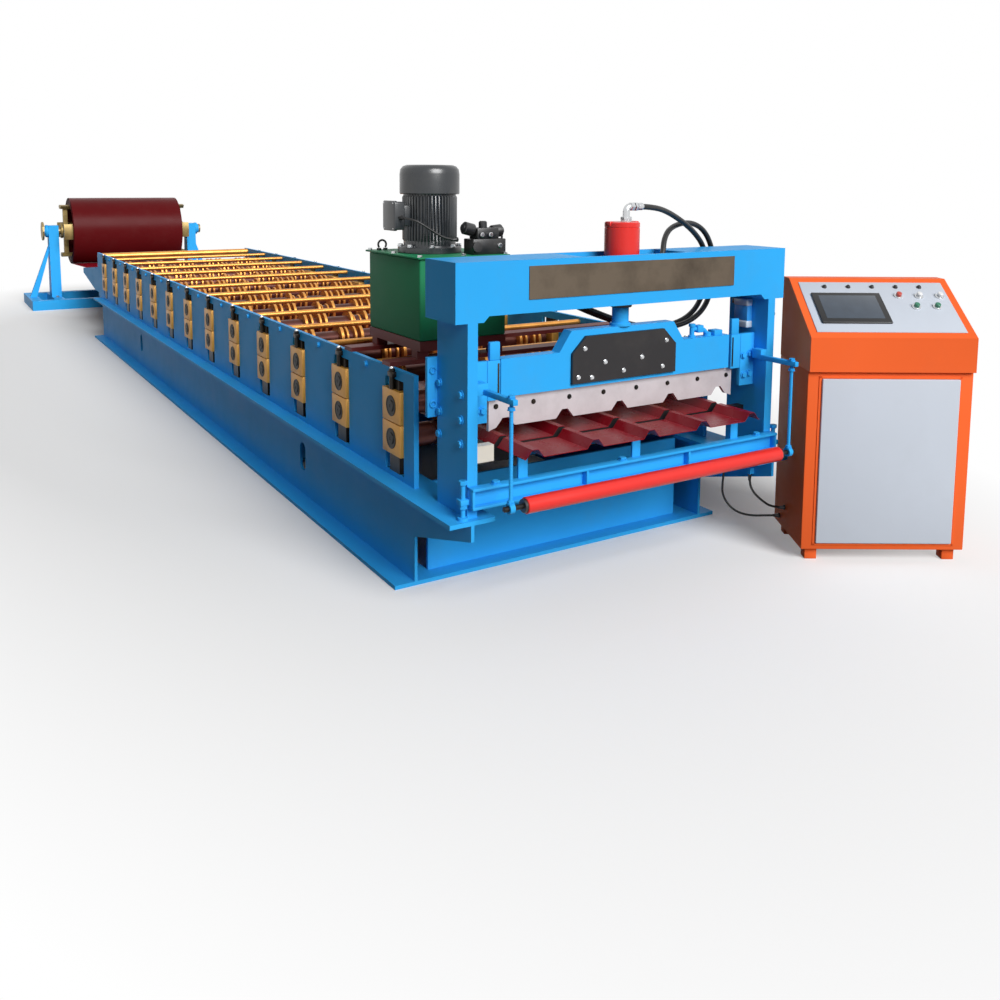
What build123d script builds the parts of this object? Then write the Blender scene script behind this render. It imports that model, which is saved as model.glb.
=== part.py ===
"""Roll forming line for trapezoidal roofing sheet.

X is the feed direction (coil at -X, cut sheet at +X), Y runs across the line, Z is up.
The origin is on the floor, under the foot of the front cross member.
"""

from build123d import *

import math
import os

os.makedirs("parts", exist_ok=True)


def save(name, part):
    part.label = name
    export_step(part, f"parts/{name}.step")


def faceted(rings):
    """Solid with a flat facet from each edge of a ring of corners to the same edge of the next ring."""
    facets = [rings[0], rings[-1]]
    for ring, after in zip(rings, rings[1:]):
        facets += [(ring[i - 1], ring[i], after[i], after[i - 1]) for i in range(len(ring))]
    return Solid(Shell([Face(Wire.make_polygon(corners)) for corners in facets]))


def hose(route, diameter):
    """Straight runs joined by tangent arcs, as large as the two runs beside each point allow."""
    points = [Vector(*point) for point in route]
    radii = []
    for before, here, after in zip(points, points[1:], points[2:]):
        one, two = here - before, after - here
        radii.append(0.45 * min(one.length, two.length) / math.tan(math.radians(one.get_angle(two)) / 2))
    print("bend radii", [round(radius) for radius in radii])
    with BuildPart() as swept:
        with BuildLine():
            FilletPolyline(*points, radius=radii)
        with BuildSketch(Plane(origin=points[0], z_dir=points[1] - points[0])):
            RegularPolygon(diameter / 2, hose_sides)
        sweep()
    return swept.part


def hexagon_stub(start, direction, radius, length):
    """Hexagonal fitting or port, extruded from its start point."""
    with BuildPart() as stub:
        with BuildSketch(Plane(origin=start, z_dir=direction)):
            RegularPolygon(radius, 6)
        extrude(amount=length)
    return stub.part


# Driving dimensions, mm

# Base beams
base_front = 30.0
base_rear = -5424.0
base_half_width = 659.0
beam_height = 313.0
flange_width = 144.0
flange_thickness = 13.0
web_thickness = 10.0
arm_tip = 375.0
arm_root_depth = 156.0
arm_tip_depth = 60.0
cross_spacing = 1400.0
cross_width = 80.0
cross_height = 160.0
cross_low = 20.0

# Roll stand
plate_front = 45.0
plate_rear = -5529.0
plate_top = 660.0
plate_outer = 600.0
plate_thickness = 16.0
station_count = 13
entry_station = -5202.0
station_pitch = 426.0
block_width = 129.0
block_bottom = 390.0
block_top = 596.0
block_outer = 612.0
block_inner = 548.0
block_gap = 2.0
slot_clearance = 0.3
slot_bottom = 330.0
tie_radius = 12.0
tie_height = 640.0
entry_tie_radius = 25.0
entry_tie_x = -5449.0
guide_reach = 750.0

# Strip and rolls
pass_height = 480.0
strip_thickness = 1.6
rib_pitch = 210.0
rib_height = 24.0
rib_base_half = 30.0
rib_crest_half = 10.0
edge_lip = 4.0
upper_axis = 544.0
lower_axis = 440.0
roll_clearance = 1.2
roll_end_gap = 0.3
groove_margin = 1.5
upper_roll_sides = 10
lower_roll_sides = 8
journal_radius = 24.0
journal_flat = 37.0
journal_length = 8.0

# Cutter
post_rear = 179.0
post_front = 353.0
post_outer = 592.0
post_thickness = 32.0
beam_bottom = 857.0
beam_top = 1024.0
beam_half_length = 630.0
blade_front = 276.0
blade_thickness = 12.0
blade_bottom = 536.0
blade_margin = 26.0
notch_half = 32.0
ram_front = 292.0
ram_thickness = 40.0
ram_bottom = 627.0
ram_shoulder = 738.0
ram_crown = 800.0
ram_half_length = 447.0
blade_travel = 80.0
shear_gap = 5.5
cylinder_x = 270.0
cylinder_radius = 62.0
rod_radius = 26.0
rod_clearance = 0.5

# Run-out
roller_x = 484.0
roller_height = 373.0
roller_radius = 23.0
roller_half_length = 488.0
axle_radius = 8.0
hanger_y = 534.0
hanger_top = 672.0
hanger_radius = 6.0
cut_sheet_front = 430.0

# Decoiler
decoiler_x = -7700.0
spindle_height = 730.0
spindle_radius = 35.0
coil_radius = 323.0
coil_bore = 256.0
post_y = 660.0
post_thickness_y = 90.0
frame_margin = 250.0
end_disc_radius = 90.0
end_disc_length = 16.0
end_knob_radius = 45.0
end_knob_length = 30.0

# Hoses and cables
hose_diameter = 18.0
hose_sides = 4
motor_cable_diameter = 8.0
cabinet_cable_diameter = 8.0
fitting_radius = 16.0
stub_radius = 12.0
elbow_height = 1165.0
elbow_y = 15.0
hose_start_y = 45.0
lower_port_height = 945.0
port_length = 12.0
gland_size = 20.0
gland_low = 242.0
cable_1_x = 165.0
cable_2_x = 288.0

# Control cabinet, turned to face the operator at the outlet
cabinet_gap = 70.5
cabinet_corner = (505.5, base_half_width - cabinet_gap)
cabinet_turn = 58.55
cabinet_width = 535.0
cabinet_depth = 300.0
button_count = 5


def station_x(k):
    """Station 0 is at the entry, the last one stands next to the cutter."""
    return entry_station + k * station_pitch


blade_half_length = 2 * rib_pitch + notch_half + blade_margin
stand_stations = [station_x(k) for k in range(station_count)]
web_centre = base_half_width - flange_width / 2

# Base beams: rolled I sections with a tapered arm that carries the cutter
with BuildPart() as base_beams:
    for y in (-web_centre, web_centre):
        with BuildSketch(Plane.YZ.offset(base_rear)):
            with Locations((y, beam_height / 2)):
                Rectangle(web_thickness, beam_height)
            with Locations((y, flange_thickness / 2), (y, beam_height - flange_thickness / 2)):
                Rectangle(flange_width, flange_thickness)
        extrude(amount=base_front - base_rear)
        with BuildSketch(Plane.XY.offset(beam_height - flange_thickness)):
            with Locations(((base_front + arm_tip) / 2, y)):
                Rectangle(arm_tip - base_front, flange_width)
        extrude(amount=flange_thickness)
        with BuildSketch(Plane.XZ.offset(-y)):
            with BuildLine():
                Polyline(
                    (base_front, beam_height - flange_thickness),
                    (arm_tip, beam_height - flange_thickness),
                    (arm_tip, beam_height - arm_tip_depth),
                    (base_front, beam_height - arm_root_depth),
                    close=True,
                )
            make_face()
        extrude(amount=web_thickness / 2, both=True)
        with BuildSketch(Plane.XZ.offset(-y)):
            with Locations((-942, 163), (-3970, 163)):
                window = Rectangle(60, 110)
            chamfer(window.vertices(), 16)
        extrude(amount=web_thickness, both=True, mode=Mode.SUBTRACT)
    with BuildSketch(Plane.XY.offset(gland_low)):
        for x in (cable_1_x, cable_2_x):
            with Locations((x, web_centre - web_thickness / 2 - gland_size / 2)):
                Rectangle(gland_size, gland_size)
    extrude(amount=gland_size)
save("base_beams", base_beams.part)

# Cross members: a channel behind the front panel's foot and three plain ties
cross_half = web_centre - web_thickness / 2
panel_x = -40.0
panel_thickness = 10.0
with BuildPart() as front_panel:
    with BuildSketch(Plane.XY):
        with Locations(((panel_x + base_front) / 2, 0)):
            Rectangle(base_front - panel_x, 2 * (base_half_width - flange_width))
    extrude(amount=flange_thickness)
    with BuildSketch(Plane.XY):
        with Locations((panel_x + panel_thickness / 2, 0)):
            Rectangle(panel_thickness, 2 * (base_half_width - flange_width))
    extrude(amount=beam_height - flange_thickness)
save("front_panel", front_panel.part)

with BuildPart() as cross_members:
    with BuildSketch(Plane.XY.offset(cross_low)):
        with Locations((base_rear + cross_width, 0), *((-i * cross_spacing, 0) for i in (1, 2, 3))):
            Rectangle(cross_width, 2 * cross_half)
    extrude(amount=cross_height)
save("cross_members", cross_members.part)

# Side plates with a slot for each pair of bearing blocks
plate_middle = plate_outer - plate_thickness / 2
slot_top = block_top + 32
with BuildPart() as side_plates:
    for y in (-plate_middle, plate_middle):
        with BuildSketch(Plane.XZ.offset(-y)):
            with Locations(((plate_front + plate_rear) / 2, (beam_height + plate_top) / 2)):
                Rectangle(plate_front - plate_rear, plate_top - beam_height)
            for x in stand_stations:
                with Locations((x, (slot_bottom + slot_top) / 2)):
                    Rectangle(block_width + 2 * slot_clearance, slot_top - slot_bottom, mode=Mode.SUBTRACT)
        extrude(amount=plate_thickness / 2, both=True)
save("side_plates", side_plates.part)

with BuildPart() as bearing_blocks:
    middle = (upper_axis + lower_axis) / 2
    for low, high in ((block_bottom, middle - block_gap / 2), (middle + block_gap / 2, block_top)):
        with BuildSketch(Plane.XY.offset(low)):
            for x in stand_stations:
                for side in (-1, 1):
                    with Locations((x, side * (block_inner + block_outer) / 2)):
                        Rectangle(block_width, block_outer - block_inner)
        extrude(amount=high - low)
save("bearing_blocks", bearing_blocks.part)

# Packing pieces that hold the blocks up and down in their slots
with BuildPart() as block_packers:
    for low, high in ((slot_bottom, block_bottom), (block_top, slot_top)):
        with BuildSketch(Plane.XY.offset(low)):
            for x in stand_stations:
                with Locations((x, -plate_middle), (x, plate_middle)):
                    Rectangle(70, plate_thickness)
        extrude(amount=high - low)
save("block_packers", block_packers.part)

tie_half = plate_outer - plate_thickness
with BuildPart() as tie_bars:
    with BuildSketch(Plane.XZ.offset(-tie_half)):
        for x in stand_stations:
            if x > entry_station:
                with Locations((x - station_pitch / 2, tie_height)):
                    RegularPolygon(tie_radius, 8)
        with Locations((entry_tie_x, plate_top - entry_tie_radius)):
            RegularPolygon(entry_tie_radius, 8)
    extrude(amount=2 * tie_half)
save("tie_bars", tie_bars.part)

# Strip: the centre rib is formed first, then the next pair, then the outer pair
centre_done, inner_done, outer_done = 8, 11, 12
unformed = 0.002


def rib_rises(k):
    """Heights of the five ribs at station k, from one edge to the other."""
    centre = (k + 1) / (centre_done + 1)
    inner = (k - centre_done) / (inner_done - centre_done)
    outer = (k - inner_done) / (outer_done - inner_done)
    return [rib_height * min(1.0, max(unformed, f)) for f in (outer, inner, centre, inner, outer)]


flank_length = math.hypot(rib_base_half - rib_crest_half, rib_height)
pan = rib_pitch - 2 * rib_base_half


def section_points(rises):
    """Mid-line of the strip, one trapezoid for each rib. A flank keeps its developed length,
    so the strip narrows as the ribs rise."""
    steps, heights = [edge_lip], [0.0]
    for rise in rises:
        run = math.sqrt(flank_length**2 - rise**2)
        steps += [run, 2 * rib_crest_half, run, pan]
        heights += [rise, rise, 0.0, 0.0]
    steps[-1] = edge_lip
    y = -sum(steps) / 2
    points = [(y, 0.0)]
    for step, z in zip(steps, heights):
        y += step
        points.append((y, z))
    return points


states = (-1, centre_done, inner_done, outer_done)


def line_at(k):
    """The strip is ruled between its states, so its mid-line at a station lies between theirs."""
    before = max(s for s in states if s <= k)
    after = min(s for s in states if s >= k)
    f = (k - before) / max(1, after - before)
    pairs = zip(section_points(rib_rises(before)), section_points(rib_rises(after)))
    return [(a[0] + f * (b[0] - a[0]), a[1] + f * (b[1] - a[1])) for a, b in pairs]


def strip_face(k, x):
    """Cross section of the strip at x, in its shape of station k."""
    line = line_at(k)
    high, low = pass_height + strip_thickness / 2, pass_height - strip_thickness / 2
    outline = [(y, high + z) for y, z in line] + [(y, low + z) for y, z in reversed(line)]
    with BuildSketch(Plane.YZ.offset(x), mode=Mode.PRIVATE) as face:
        with BuildLine():
            Polyline(*outline, close=True)
        make_face()
    return face.sketch


cut_x = blade_front - blade_thickness - shear_gap
flat_width = -2 * line_at(-1)[0][0]
coil_foot = spindle_height - coil_radius - roll_clearance
with BuildPart() as formed_strip:
    with BuildSketch(Plane.XZ):
        with BuildLine():
            Polyline(
                (decoiler_x, coil_foot),
                (station_x(-1), pass_height + strip_thickness / 2),
                (station_x(-1), pass_height - strip_thickness / 2),
                (decoiler_x, coil_foot - strip_thickness),
                close=True,
            )
        make_face()
    extrude(amount=flat_width / 2, both=True)
    for k, after in zip(states, states[1:]):
        loft(sections=[strip_face(k, station_x(k)), strip_face(after, station_x(after))], ruled=True)
    extrude(strip_face(outer_done, station_x(outer_done)), amount=cut_x - station_x(outer_done), dir=(1, 0, 0))
save("formed_strip", formed_strip.part)

cut_sheet_rear = blade_front + shear_gap
with BuildPart() as cut_sheet:
    extrude(strip_face(outer_done, cut_sheet_rear), amount=cut_sheet_front - cut_sheet_rear, dir=(1, 0, 0))
save("cut_sheet", cut_sheet.part)

# Entry guide: two cheeks behind the side plates with a table just under the strip
guide_end = plate_rear - guide_reach
table_thickness, table_rear, table_front = 8.0, guide_end + 30, plate_rear - 11
cheek_top, cheek_bottom = 545.0, 345.0


def strip_bottom(x):
    """Height of the strip's underside where it comes up from the coil."""
    slope = (pass_height + strip_thickness / 2 - coil_foot) / (station_x(-1) - decoiler_x)
    return pass_height - strip_thickness / 2 - slope * (station_x(-1) - x)


with BuildPart() as entry_guide:
    for y in (-plate_middle, plate_middle):
        with BuildSketch(Plane.XZ.offset(-y)):
            with BuildLine():
                Polyline(
                    (plate_rear, cheek_top),
                    (guide_end, strip_bottom(guide_end) + 24),
                    (guide_end, strip_bottom(guide_end) - 16),
                    (guide_end + 600, cheek_bottom),
                    (plate_rear, cheek_bottom),
                    close=True,
                )
            make_face()
        extrude(amount=plate_thickness / 2, both=True)
    with BuildSketch(Plane.XZ):
        with BuildLine():
            under = [(x, strip_bottom(min(x, station_x(-1))) - slot_clearance) for x in
                     (table_rear, station_x(-1), table_front)]
            Polyline(*under, *((x, z - table_thickness) for x, z in reversed(under)), close=True)
        make_face()
    extrude(amount=plate_middle, both=True)
save("entry_guide", entry_guide.part)

# Forming rolls with flat facets, shaped along their length to match the strip at their station
tube_radius = 34.0
upper_pan = upper_axis - pass_height - strip_thickness / 2 - roll_clearance
lower_pan = pass_height - strip_thickness / 2 - roll_clearance - lower_axis
roll_half = block_inner - roll_end_gap
land = 14.0


def ribs_at(k):
    """Centre, rise and flank run of each rib that has started to form at station k."""
    line, found = line_at(k), []
    for i in range(5):
        foot, left, right = line[1 + 4 * i], line[2 + 4 * i], line[3 + 4 * i]
        if left[1] > 2 * unformed * rib_height:
            found.append(((left[0] + right[0]) / 2, left[1], left[0] - foot[0]))
    return found


def upper_profile(k):
    """Tube with a spool at each rib: two lands that press the pan, with a groove between."""
    points = [(-roll_half, tube_radius)]
    for y, rise, run in ribs_at(k):
        mouth = rib_crest_half + run + groove_margin
        points += [
            (y - mouth - land, tube_radius),
            (y - mouth - land, upper_pan),
            (y - mouth, upper_pan),
            (y, upper_pan - mouth * rise / run),
            (y + mouth, upper_pan),
            (y + mouth + land, upper_pan),
            (y + mouth + land, tube_radius),
        ]
    return points + [(roll_half - journal_length, tube_radius)]


def lower_profile(k):
    """Plain barrel with a ridge that lifts each rib."""
    points = [(-roll_half, lower_pan)]
    for y, rise, run in ribs_at(k):
        foot = rib_crest_half + run - groove_margin
        peak = lower_pan + rise * foot / (foot + groove_margin)
        points += [(y - foot, lower_pan), (y, peak), (y + foot, lower_pan)]
    return points + [(roll_half, lower_pan)]


def roll(k, axis_height, profile, sides):
    """Faceted roll with a corner at the strip, ruled from each point of its profile to the next."""
    turns = [2 * math.pi * i / sides for i in range(sides)]
    return faceted([
        [Vector(station_x(k) + radius * math.sin(turn), y, axis_height + radius * math.cos(turn)) for turn in turns]
        for y, radius in profile
    ])


def journal(k):
    """Shaft end with four flats, at the end of the roll's tube."""
    centre = Vector(station_x(k), roll_half - journal_length, upper_axis)
    with BuildPart() as end:
        with BuildSketch(Plane(origin=centre, x_dir=(0, 0, 1), z_dir=(0, 1, 0))):
            Circle(journal_radius)
            Rectangle(journal_flat, journal_flat, mode=Mode.INTERSECT)
        extrude(amount=journal_length)
    return end.part


for k in range(station_count):
    with BuildPart() as upper_roll:
        add(roll(k, upper_axis, upper_profile(k), upper_roll_sides))
        add(journal(k))
    save(f"upper_roll_{k + 1:02d}", upper_roll.part)

with BuildPart() as lower_rolls:
    for k in range(station_count):
        add(roll(k, lower_axis, lower_profile(k), lower_roll_sides))
save("lower_rolls", lower_rolls.part)

# Cutter frame: two posts under a folded box beam
post_mid = (post_rear + post_front) / 2
post_inner = post_outer - post_thickness
with BuildPart() as cutter_posts:
    with BuildSketch(Plane.XY.offset(beam_height)):
        for side in (-1, 1):
            with Locations((post_mid, side * (post_outer + post_inner) / 2)):
                Rectangle(post_front - post_rear, post_thickness)
    extrude(amount=beam_bottom - beam_height)
save("cutter_posts", cutter_posts.part)

beam_wall = 12.0
lip_half = 541.0
lip_drop = 17.0
well_half = 200.0
with BuildPart() as cutter_beam:
    with BuildSketch(Plane.YZ.offset(post_rear)):
        with BuildLine():
            Polyline(
                (-beam_half_length, beam_bottom),
                (-lip_half, beam_bottom),
                (-lip_half + lip_drop, beam_bottom + lip_drop),
                (lip_half - lip_drop, beam_bottom + lip_drop),
                (lip_half, beam_bottom),
                (beam_half_length, beam_bottom),
                (beam_half_length, beam_top),
                (-beam_half_length, beam_top),
                close=True,
            )
        make_face()
    extrude(amount=post_front - post_rear)
    with BuildSketch(Plane.XY.offset(beam_bottom + lip_drop + beam_wall)):
        with Locations((post_mid, 0)):
            Rectangle(post_front - post_rear - 2 * beam_wall, 2 * well_half)
    extrude(amount=beam_top - beam_bottom, mode=Mode.SUBTRACT)
    with Locations((cylinder_x, 0, beam_bottom)):
        Hole(cylinder_radius + slot_clearance, depth=2 * beam_height, mode=Mode.SUBTRACT)
save("cutter_beam", cutter_beam.part)

nameplate_low, nameplate_high, nameplate_half = 912.0, 1006.0, 395.0
with BuildPart() as beam_plate:
    with BuildSketch(Plane.YZ.offset(post_front)):
        with Locations((0, (nameplate_low + nameplate_high) / 2)):
            Rectangle(2 * nameplate_half, nameplate_high - nameplate_low)
    extrude(amount=3)
save("beam_plate", beam_plate.part)

# Hydraulic cylinder, with the rod that carries the ram
barrel_low = beam_bottom + lip_drop
barrel_high = 1119.0
cylinder_head = 12.0
with BuildPart() as cylinder_barrel:
    with BuildSketch(Plane.XY.offset(barrel_low)):
        with Locations((cylinder_x, 0)):
            Circle(cylinder_radius)
    extrude(amount=barrel_high - barrel_low)
    with BuildSketch(Plane.XY.offset(barrel_low)):
        with Locations((cylinder_x, 0)):
            RegularPolygon(rod_radius + rod_clearance, 12, major_radius=False)
    extrude(amount=barrel_high - cylinder_head - barrel_low, mode=Mode.SUBTRACT)
    add(hexagon_stub((cylinder_x, elbow_y, barrel_high), (0, 0, 1), fitting_radius,
                     elbow_height + stub_radius - barrel_high))
    add(hexagon_stub((cylinder_x, elbow_y, elbow_height), (0, 1, 0), stub_radius, hose_start_y - elbow_y))
    add(hexagon_stub((cylinder_x, 0.7 * cylinder_radius, lower_port_height), (0, 1, 0), stub_radius,
                     0.3 * cylinder_radius + port_length))
save("cylinder_barrel", cylinder_barrel.part)

with BuildPart() as cutter_rod:
    with BuildSketch(Plane.XY.offset(ram_crown)):
        with Locations((cylinder_x, 0)):
            Circle(rod_radius)
    extrude(amount=barrel_high - 30 - ram_crown)
save("cutter_rod", cutter_rod.part)

ram_rear = ram_front - ram_thickness
crown_foot, crown_half = 244.0, 201.0
with BuildPart() as cutter_ram:
    with BuildSketch(Plane.YZ.offset(ram_rear)):
        with BuildLine():
            Polyline(
                (-ram_half_length, ram_bottom),
                (-ram_half_length, ram_shoulder),
                (-crown_foot, ram_shoulder),
                (-crown_half, ram_crown),
                (crown_half, ram_crown),
                (crown_foot, ram_shoulder),
                (ram_half_length, ram_shoulder),
                (ram_half_length, ram_bottom),
                close=True,
            )
        make_face()
    extrude(amount=ram_thickness)
save("cutter_ram", cutter_ram.part)

cover_half, cover_low, cover_high, cover_corner = 203.0, 640.0, 782.0, 50.0
with BuildPart() as ram_cover:
    with BuildSketch(Plane.YZ.offset(ram_front)):
        with BuildLine():
            Polyline(
                (-cover_half, cover_low),
                (-cover_half, cover_high - cover_corner),
                (-cover_half + cover_corner, cover_high),
                (cover_half - cover_corner, cover_high),
                (cover_half, cover_high - cover_corner),
                (cover_half, cover_low),
                close=True,
            )
        make_face()
    extrude(amount=12)
save("ram_cover", ram_cover.part)

notch_peak = 562.0
blade_rear = blade_front - blade_thickness
with BuildPart() as cutter_blade:
    with BuildSketch(Plane.YZ.offset(blade_rear)):
        with BuildLine():
            edge = [(-blade_half_length, ram_bottom), (-blade_half_length, blade_bottom - 8)]
            for i in range(-2, 3):
                y = i * rib_pitch
                edge += [
                    (y - notch_half, blade_bottom),
                    (y - notch_half / 3, notch_peak),
                    (y + notch_half / 3, notch_peak),
                    (y + notch_half, blade_bottom),
                ]
            edge += [(blade_half_length, blade_bottom - 8), (blade_half_length, ram_bottom)]
            Polyline(*edge, close=True)
        make_face()
    extrude(amount=blade_thickness)
save("cutter_blade", cutter_blade.part)

die_low = 430.0
with BuildPart() as lower_die:
    with BuildSketch(Plane.YZ.offset(cut_x - 30)):
        with BuildLine():
            top = [(y, pass_height - strip_thickness / 2 + z) for y, z in line_at(outer_done)]
            ends = [(side * post_inner, z) for side, z in ((1, top[0][1]), (1, die_low), (-1, die_low), (-1, top[0][1]))]
            Polyline(*top, *ends, close=True)
        make_face()
    extrude(amount=30)
save("lower_die", lower_die.part)

guide_inner, guide_top, guide_low = 452.3, 737.0, 560.0
guide_x = blade_front + shear_gap
with BuildPart() as ram_guides:
    with BuildSketch(Plane.YZ.offset(guide_x)):
        for side in (-1, 1):
            with Locations((side * (guide_inner + post_inner) / 2, (guide_low + guide_top) / 2)):
                Rectangle(post_inner - guide_inner, guide_top - guide_low)
    extrude(amount=16)
save("ram_guides", ram_guides.part)

# Limit switch on the inner side of the left post, beside the cut sheet
switch_x, switch_low, switch_size = 320.0, 465.0, (30.0, 55.0, 47.0)
with BuildPart() as limit_switch:
    with BuildSketch(Plane.XY.offset(switch_low)):
        with Locations((switch_x + switch_size[0] / 2, -post_inner + switch_size[1] / 2)):
            Rectangle(*switch_size[:2])
    extrude(amount=switch_size[2])
save("limit_switch", limit_switch.part)

# Run-out sill, roller and its hangers
sill_x, sill_depth, sill_low, sill_high = post_front, 32.0, 345.0, 405.0
rest_thickness, rest_half = 8.0, 430.0
with BuildPart() as runout_sill:
    with BuildSketch(Plane.XY.offset(sill_low)):
        with Locations((sill_x + sill_depth / 2, 0)):
            Rectangle(sill_depth, 2 * post_outer)
    extrude(amount=sill_high - sill_low)
    with BuildSketch(Plane.XY.offset(sill_high)):
        with Locations((sill_x + rest_thickness / 2, 0)):
            Rectangle(rest_thickness, 2 * rest_half)
    extrude(amount=pass_height - strip_thickness / 2 - slot_clearance - sill_high)
save("runout_sill", runout_sill.part)

axle_half = hanger_y + 22
with BuildPart() as runout_roller:
    with BuildSketch(Plane.XZ.offset(-roller_half_length)):
        with Locations((roller_x, roller_height)):
            Circle(roller_radius)
    extrude(amount=2 * roller_half_length)
    with BuildSketch(Plane.XZ.offset(-axle_half)):
        with Locations((roller_x, roller_height)):
            RegularPolygon(axle_radius, 8)
    extrude(amount=2 * axle_half)
save("runout_roller", runout_roller.part)

eye_size, eye_width, arm_end = 30.0, 16.0, 505.0
with BuildPart() as roller_hangers:
    for side in (-1, 1):
        with BuildSketch(Plane.XZ.offset(-side * hanger_y - eye_width / 2)):
            with Locations((roller_x, roller_height)):
                Rectangle(eye_size, eye_size)
                RegularPolygon(axle_radius + slot_clearance, 12, major_radius=False, mode=Mode.SUBTRACT)
        extrude(amount=eye_width)
        with BuildSketch(Plane.XY.offset(roller_height + eye_size / 2)):
            with Locations((roller_x, side * hanger_y)):
                Rectangle(2 * hanger_radius, 2 * hanger_radius)
        extrude(amount=hanger_top - roller_height - eye_size / 2)
        with BuildSketch(Plane.YZ.offset(post_front)):
            with Locations((side * hanger_y, hanger_top)):
                Rectangle(eye_width, eye_width)
        extrude(amount=arm_end - post_front)
        with BuildSketch(Plane.XY.offset(hanger_top - eye_width)):
            with Locations((post_front - 20, side * (hanger_y + post_inner) / 2 - side * eye_width / 4)):
                Rectangle(40, post_inner - hanger_y + eye_width / 2)
        extrude(amount=2 * eye_width)
save("roller_hangers", roller_hangers.part)

# Hydraulic power pack on brackets over the last stations
tank_x, tank_y = (-495.0, -109.0), (-500.0, -180.0)
tank_low, tank_high = 732.0, 995.0
tank_ports = ((-222.0, 918.0), (-272.0, 937.0))
with BuildPart() as oil_tank:
    with BuildSketch(Plane.XY.offset(tank_low)):
        with Locations(((tank_x[0] + tank_x[1]) / 2, (tank_y[0] + tank_y[1]) / 2)):
            Rectangle(tank_x[1] - tank_x[0], tank_y[1] - tank_y[0])
    extrude(amount=tank_high - tank_low)
    for y, z in tank_ports:
        add(hexagon_stub((tank_x[1], y, z), (1, 0, 0), stub_radius, port_length))
save("oil_tank", oil_tank.part)

bracket_plate, bracket_width, bracket_leg, bracket_leg_low = 14.0, 60.0, 40.0, 26.0
bracket_stations = (tank_x[0] + bracket_leg, tank_x[1] - bracket_leg)
with BuildPart() as tank_brackets:
    with BuildSketch(Plane.XY.offset(plate_top)):
        for x in bracket_stations:
            with Locations((x, 0)):
                Rectangle(bracket_width, 2 * plate_outer)
    extrude(amount=bracket_plate)
    with BuildSketch(Plane.XY.offset(plate_top + bracket_plate)):
        for x in bracket_stations:
            with Locations((x, tank_y[0] + bracket_leg / 2), (x, tank_y[1] - bracket_leg / 2)):
                Rectangle(bracket_leg, bracket_leg)
    extrude(amount=bracket_leg_low)
    with BuildSketch(Plane.XY.offset(plate_top + bracket_plate + bracket_leg_low)):
        with Locations(((tank_x[0] + tank_x[1]) / 2, (tank_y[0] + tank_y[1]) / 2)):
            Rectangle(tank_x[1] - tank_x[0], tank_y[1] - tank_y[0])
    extrude(amount=tank_low - plate_top - bracket_plate - bracket_leg_low)
save("tank_brackets", tank_brackets.part)

tank_lid = 6.0
with BuildPart() as tank_cover:
    with BuildSketch(Plane.XY.offset(tank_high)):
        with Locations(((tank_x[0] + tank_x[1]) / 2, (tank_y[0] + tank_y[1]) / 2)):
            Rectangle(tank_x[1] - tank_x[0] + 20, tank_y[1] - tank_y[0] + 20)
    extrude(amount=tank_lid)
save("tank_cover", tank_cover.part)

motor_x, motor_y, motor_radius, cowl_radius = -300.0, -365.0, 93.0, 101.0
motor_flange, motor_low, cowl_low, motor_top = 108.0, 1022.0, 1203.0, 1293.0
box_width, box_depth, box_low, box_height, box_sink = 90.0, 60.0, 1077.0, 98.0, 15.0
box_y = motor_y - motor_radius - (box_depth - box_sink) / 2
with BuildPart() as pump_motor:
    with BuildSketch(Plane.XY.offset(motor_low)):
        with Locations((motor_x, motor_y)):
            Circle(motor_radius)
    extrude(amount=cowl_low - motor_low)
    for low, high, radius in ((tank_high + tank_lid, motor_low, motor_flange), (cowl_low, motor_top, cowl_radius)):
        with BuildSketch(Plane.XY.offset(low)):
            with Locations((motor_x, motor_y)):
                RegularPolygon(radius, 24)
        extrude(amount=high - low)
    with BuildSketch(Plane.XY.offset(box_low)):
        with Locations((motor_x, box_y)):
            Rectangle(box_width, box_depth + box_sink)
    extrude(amount=box_height)
save("pump_motor", pump_motor.part)

valve_x, valve_y, valve_width, valve_length, valve_top = -150.0, -252.0, 70.0, 164.0, 1114.0
with BuildPart() as valve_block:
    with BuildSketch(Plane.XY.offset(tank_high + tank_lid)):
        with Locations((valve_x, valve_y)):
            Rectangle(valve_width, valve_length)
    extrude(amount=valve_top - tank_high - tank_lid)
save("valve_block", valve_block.part)

# Hoses from the cylinder over and behind the beam to the tank, clear of the ram
hose_end = tank_x[1] + port_length
upper_route = [
    (cylinder_x, hose_start_y, elbow_height),
    (cylinder_x, 120, elbow_height),
    (224, 236, 1142),
    (186, 372, 1082),
    (146, 472, 1008),
    (122, 500, 880),
    (118, 445, 780),
    (112, 310, 745),
    (102, 170, 762),
    (84, 30, 812),
    (62, -75, 862),
    (36, -150, 896),
    (2, -196, 911),
    (-46, tank_ports[0][0], tank_ports[0][1]),
    (hose_end, tank_ports[0][0], tank_ports[0][1]),
]
lower_route = [
    (cylinder_x, cylinder_radius + port_length, lower_port_height),
    (cylinder_x, 112, lower_port_height),
    (266, 152, 964),
    (256, 179, 1008),
    (228, 207, 1062),
    (190, 270, 1096),
    (158, 378, 1110),
    (148, 460, 1080),
    (145, 506, 1004),
    (147, 508, 908),
    (147, 480, 812),
    (145, 398, 760),
    (141, 280, 750),
    (134, 160, 770),
    (120, 40, 812),
    (100, -62, 858),
    (78, -140, 892),
    (45, -205, 918),
    (2, -250, 932),
    (-46, tank_ports[1][0], tank_ports[1][1]),
    (hose_end, tank_ports[1][0], tank_ports[1][1]),
]
save("hose_upper", hose(upper_route, hose_diameter))
save("hose_lower", hose(lower_route, hose_diameter))

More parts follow.
